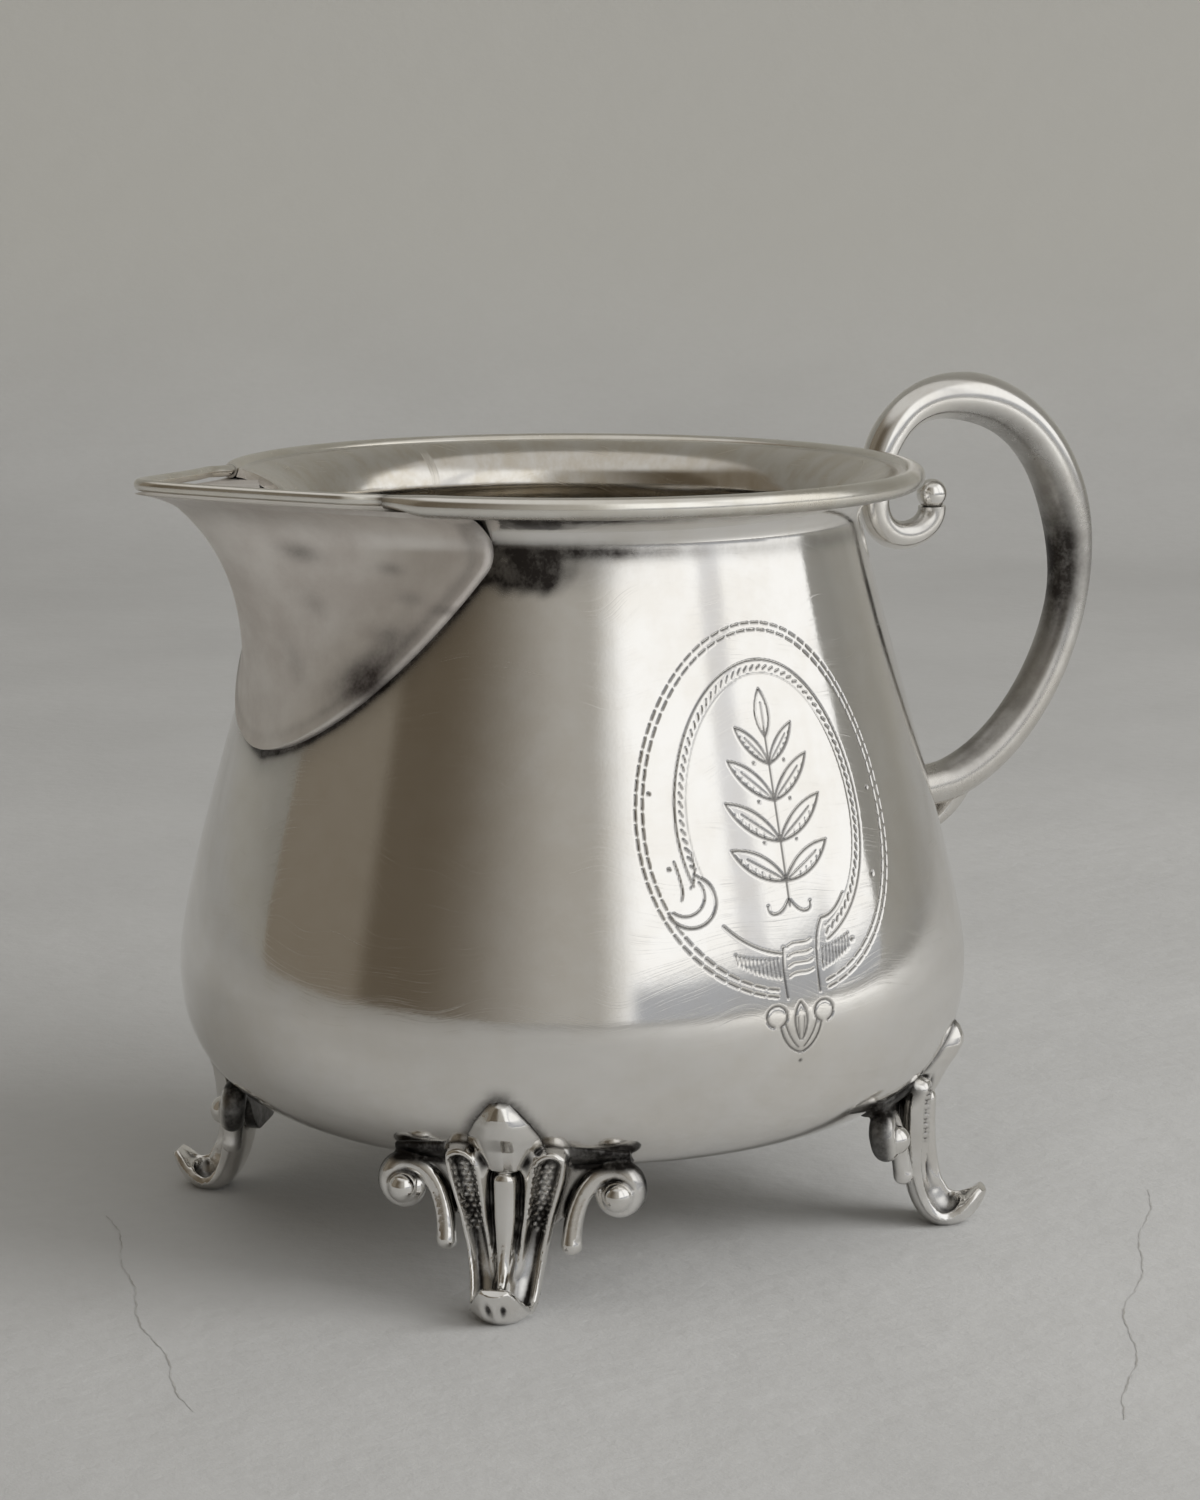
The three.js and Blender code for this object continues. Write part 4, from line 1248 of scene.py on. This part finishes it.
def make_stage():
    """Plaster floor that rises behind the jug in a wide cove, with two fine cracks."""
    plaster = bpy.data.materials.new("plaster")
    n = Nodes(plaster)
    where = n.object_place()
    height = n.node("SeparateXYZ", {0: where}).outputs[2]
    cloud = n.noise(where, 0.012, 4.0)
    speck = n.noise(where, 0.35, 4.0, 0.65)
    colour = n.blend(n.span(cloud, 0.3, 0.7), (0.535, 0.535, 0.53), (0.58, 0.58, 0.575))
    colour = n.blend(n.span(speck, 0.35, 0.75, 0.0, 0.18), colour, (0.48, 0.478, 0.47))
    colour = n.blend(n.span(height, 2.0, 90.0), colour, (0.56, 0.553, 0.52))
    uneven = n.add(speck, n.times(n.noise(where, 0.06, 3.0), 3.0))
    n.surface(colour, 0.6, Normal=n.bump(uneven, 0.22, 0.0006))

    away = array([-math.sin(CAMERA_TURN), math.cos(CAMERA_TURN)])
    side = array([away[1], -away[0]])
    turn = linspace(0, pi / 2, 40)
    bend = COVE_RADIUS * np.c_[sin(turn), 1 - cos(turn)] + (COVE_START, 0)
    cove = vstack([[(-FLOOR_HALF, 0), (0, 0)], bend, [(COVE_START + COVE_RADIUS, WALL_TOP)]])
    widths = linspace(-FLOOR_HALF, FLOOR_HALF, 9)
    rings = array([[np.r_[away * d + side * w, z] for w in widths] for d, z in cove])
    faces = grid_faces(len(cove), len(widths), False).tolist()
    floor = build("floor", rings.reshape(-1, 3), faces)
    floor.data.materials.append(plaster)
    floor.data.shade_smooth()

    shade = bpy.data.materials.new("crack")
    n = Nodes(shade)
    worn_and_painted_reflection = n.span(n.noise(n.object_place(), 0.25, 2.0), 0.35, 0.65)
    colour = n.blend(worn_and_painted_reflection, (0.40, 0.39, 0.37), (0.56, 0.56, 0.55))
    n.surface(colour, 0.9)
    lines = {
        "crack_left": [(-46, 21), (-49, 9), (-55, -7), (-58, -19), (-61, -30), (-63, -40)],
        "crack_right": [(57, -28), (42, -46), (29, -60), (20, -72), (9, -85)],
    }
    for name, corners in lines.items():
        path = resample(array(corners, float), 90)
        k = np.arange(90)
        wander = 0.07 * sin(0.9 * k) + 0.05 * sin(2.3 * k + 1) + 0.5 * sin(0.21 * k)
        normal = np.c_[-tangents(path)[:, 1], tangents(path)[:, 0]]
        path = path + normal * wander[:, None]
        half = (0.05 + 0.04 * sin(0.7 * k) ** 2)[:, None] * normal
        strip = np.stack([path - half, path + half], axis=1).reshape(-1, 2)
        crack = build(name, space(*strip.T, 0.04), grid_faces(90, 2, False).tolist())
        crack.data.materials.append(shade)


def polar_place(turn, reach, height):
    """Place in metres at a turn from -Y about the axis of the body."""
    return (array([reach * math.sin(turn), -reach * math.cos(turn), height]) + AXIS) * MM


def make_room():
    """Room round the jug: a row of windows to the right of the camera, a shaded wall to its left."""
    world = bpy.data.worlds.new("room")
    bpy.context.scene.world = world
    n = Nodes(world)
    ray = n.node("TexCoord").outputs["Generated"]
    split = n.node("SeparateXYZ", {0: ray}).outputs
    turn = n.math("ARCTAN2", split[0], n.times(split[1], -1.0))
    turn = n.math("SUBTRACT", n.times(turn, 180 / pi), math.degrees(CAMERA_TURN))
    turn = n.out("Math", {0: turn, 1: 180.0, 2: -180.0}, operation="WRAP")
    lift = n.times(n.math("ARCSINE", split[2]), 180 / pi)

    def between(start, full, fading, end):
        return n.times(n.span(turn, start, full), n.span(turn, fading, end, 1.0, 0.0))

    # Panels of the room: the angles from the camera to the right at which each starts, is full, fades
    # and ends, and its colour
    panels = (
        (-135, -100, -65, 5, (0.19, 0.165, 0.13)),  # dim room
        (-67, -60, -50, 0, (0.11, 0.09, 0.065)),  # dark door
        (115, 135, 145, 180, (0.22, 0.19, 0.16)),  # shaded corner
        (6, 22, 103, 117, (1.12, 1.12, 1.11)),  # windows
        (48, 52, 57, 61, (0.80, 0.80, 0.81)),  # bar between them
    )
    colour = (0.41, 0.395, 0.365)
    for start, full, fading, end, shade in panels:
        colour = n.blend(between(start, full, fading, end), colour, shade)
    # Sills below the windows
    for start, end, low, high in ((17, 82, 6.0, 10.5), (82, 110, 2.0, 5.5)):
        sill = n.times(between(start - 3, start + 3, end - 3, end + 3), n.span(lift, low, high, 1.0, 0.0))
        colour = n.blend(sill, colour, (0.42, 0.43, 0.45))
    # Ceiling, and the plain grey that the camera itself sees
    colour = n.blend(n.span(lift, 46, 64), colour, (0.62, 0.61, 0.59))
    camera = n.node("LightPath").outputs["Is Camera Ray"]
    colour = n.blend(camera, colour, (0.36, 0.355, 0.33))
    light = n.node("Background", {"Color": colour, "Strength": 1.0})
    n.node("OutputWorld", {0: light.outputs[0]})

    # Soft light that falls in from the windows
    data = bpy.data.lights.new("window_light", "AREA")
    data.shape = "RECTANGLE"
    data.size, data.size_y = LAMP_SIZE
    data.energy = LAMP_POWER
    data.color = (1.0, 0.995, 0.985)
    lamp = placed("window_light", data)
    heading = CAMERA_TURN + math.radians(LAMP_TURN)
    lift_angle = math.radians(LAMP_LIFT)
    lamp.location = polar_place(
        heading, LAMP_DISTANCE * math.cos(lift_angle), LAMP_DISTANCE * math.sin(lift_angle))
    lamp.rotation_euler = (pi / 2 - lift_angle, 0, heading)
    lamp.visible_glossy = False


def make_camera():
    data = bpy.data.cameras.new("camera")
    data.sensor_width = 36.0
    data.lens = CAMERA_LENS
    camera = placed("camera", data)
    camera.location = polar_place(CAMERA_TURN, CAMERA_DISTANCE, CAMERA_HEIGHT)
    camera.rotation_euler = (math.radians(90 - CAMERA_PITCH), 0, math.radians(CAMERA_HEADING))
    bpy.context.scene.camera = camera


# ---- jug

# Colours of bare silver, film, and tarnish with painted shade; roughness, share of film, strength of
# scratches
body_silver = silver(
    "body_silver", ("across", "along"), (0.84, 0.825, 0.80), (0.74, 0.70, 0.635), (0.045, 0.04, 0.038),
    0.08, 0.5, 2.0, inside=(0.72, 0.665, 0.57), mark=(0.06, 0.055, 0.05))
spout_silver = silver(
    "spout_silver", ("across", "along"), (0.86, 0.825, 0.785), (0.70, 0.65, 0.61), (0.09, 0.075, 0.07),
    0.42, 0.8, 0.6, metal=0.72)
wire_silver, handle_silver, bead_silver, foot_silver = (silver(name, None, *look) for name, *look in (
    ("wire_silver", (0.84, 0.82, 0.77), (0.72, 0.675, 0.58), (0.06, 0.05, 0.045), 0.19, 0.8, 0.5),
    ("handle_silver", (0.82, 0.805, 0.775), (0.68, 0.645, 0.59), (0.05, 0.045, 0.042), 0.17, 0.7, 0.8),
    ("bead_silver", (0.86, 0.845, 0.815), (0.74, 0.71, 0.66), (0.05, 0.045, 0.042), 0.13, 0.4, 0.6),
    ("foot_silver", (0.84, 0.83, 0.81), (0.68, 0.65, 0.605), (0.022, 0.02, 0.019), 0.11, 0.6, 0.6),
))

make_camera()
make_stage()
make_room()
make_body(body_silver)
make_spout(spout_silver)
make_wires(wire_silver)
make_handle(handle_silver, bead_silver)
make_feet(foot_silver)

bpy.context.scene.view_settings.view_transform = "Standard"
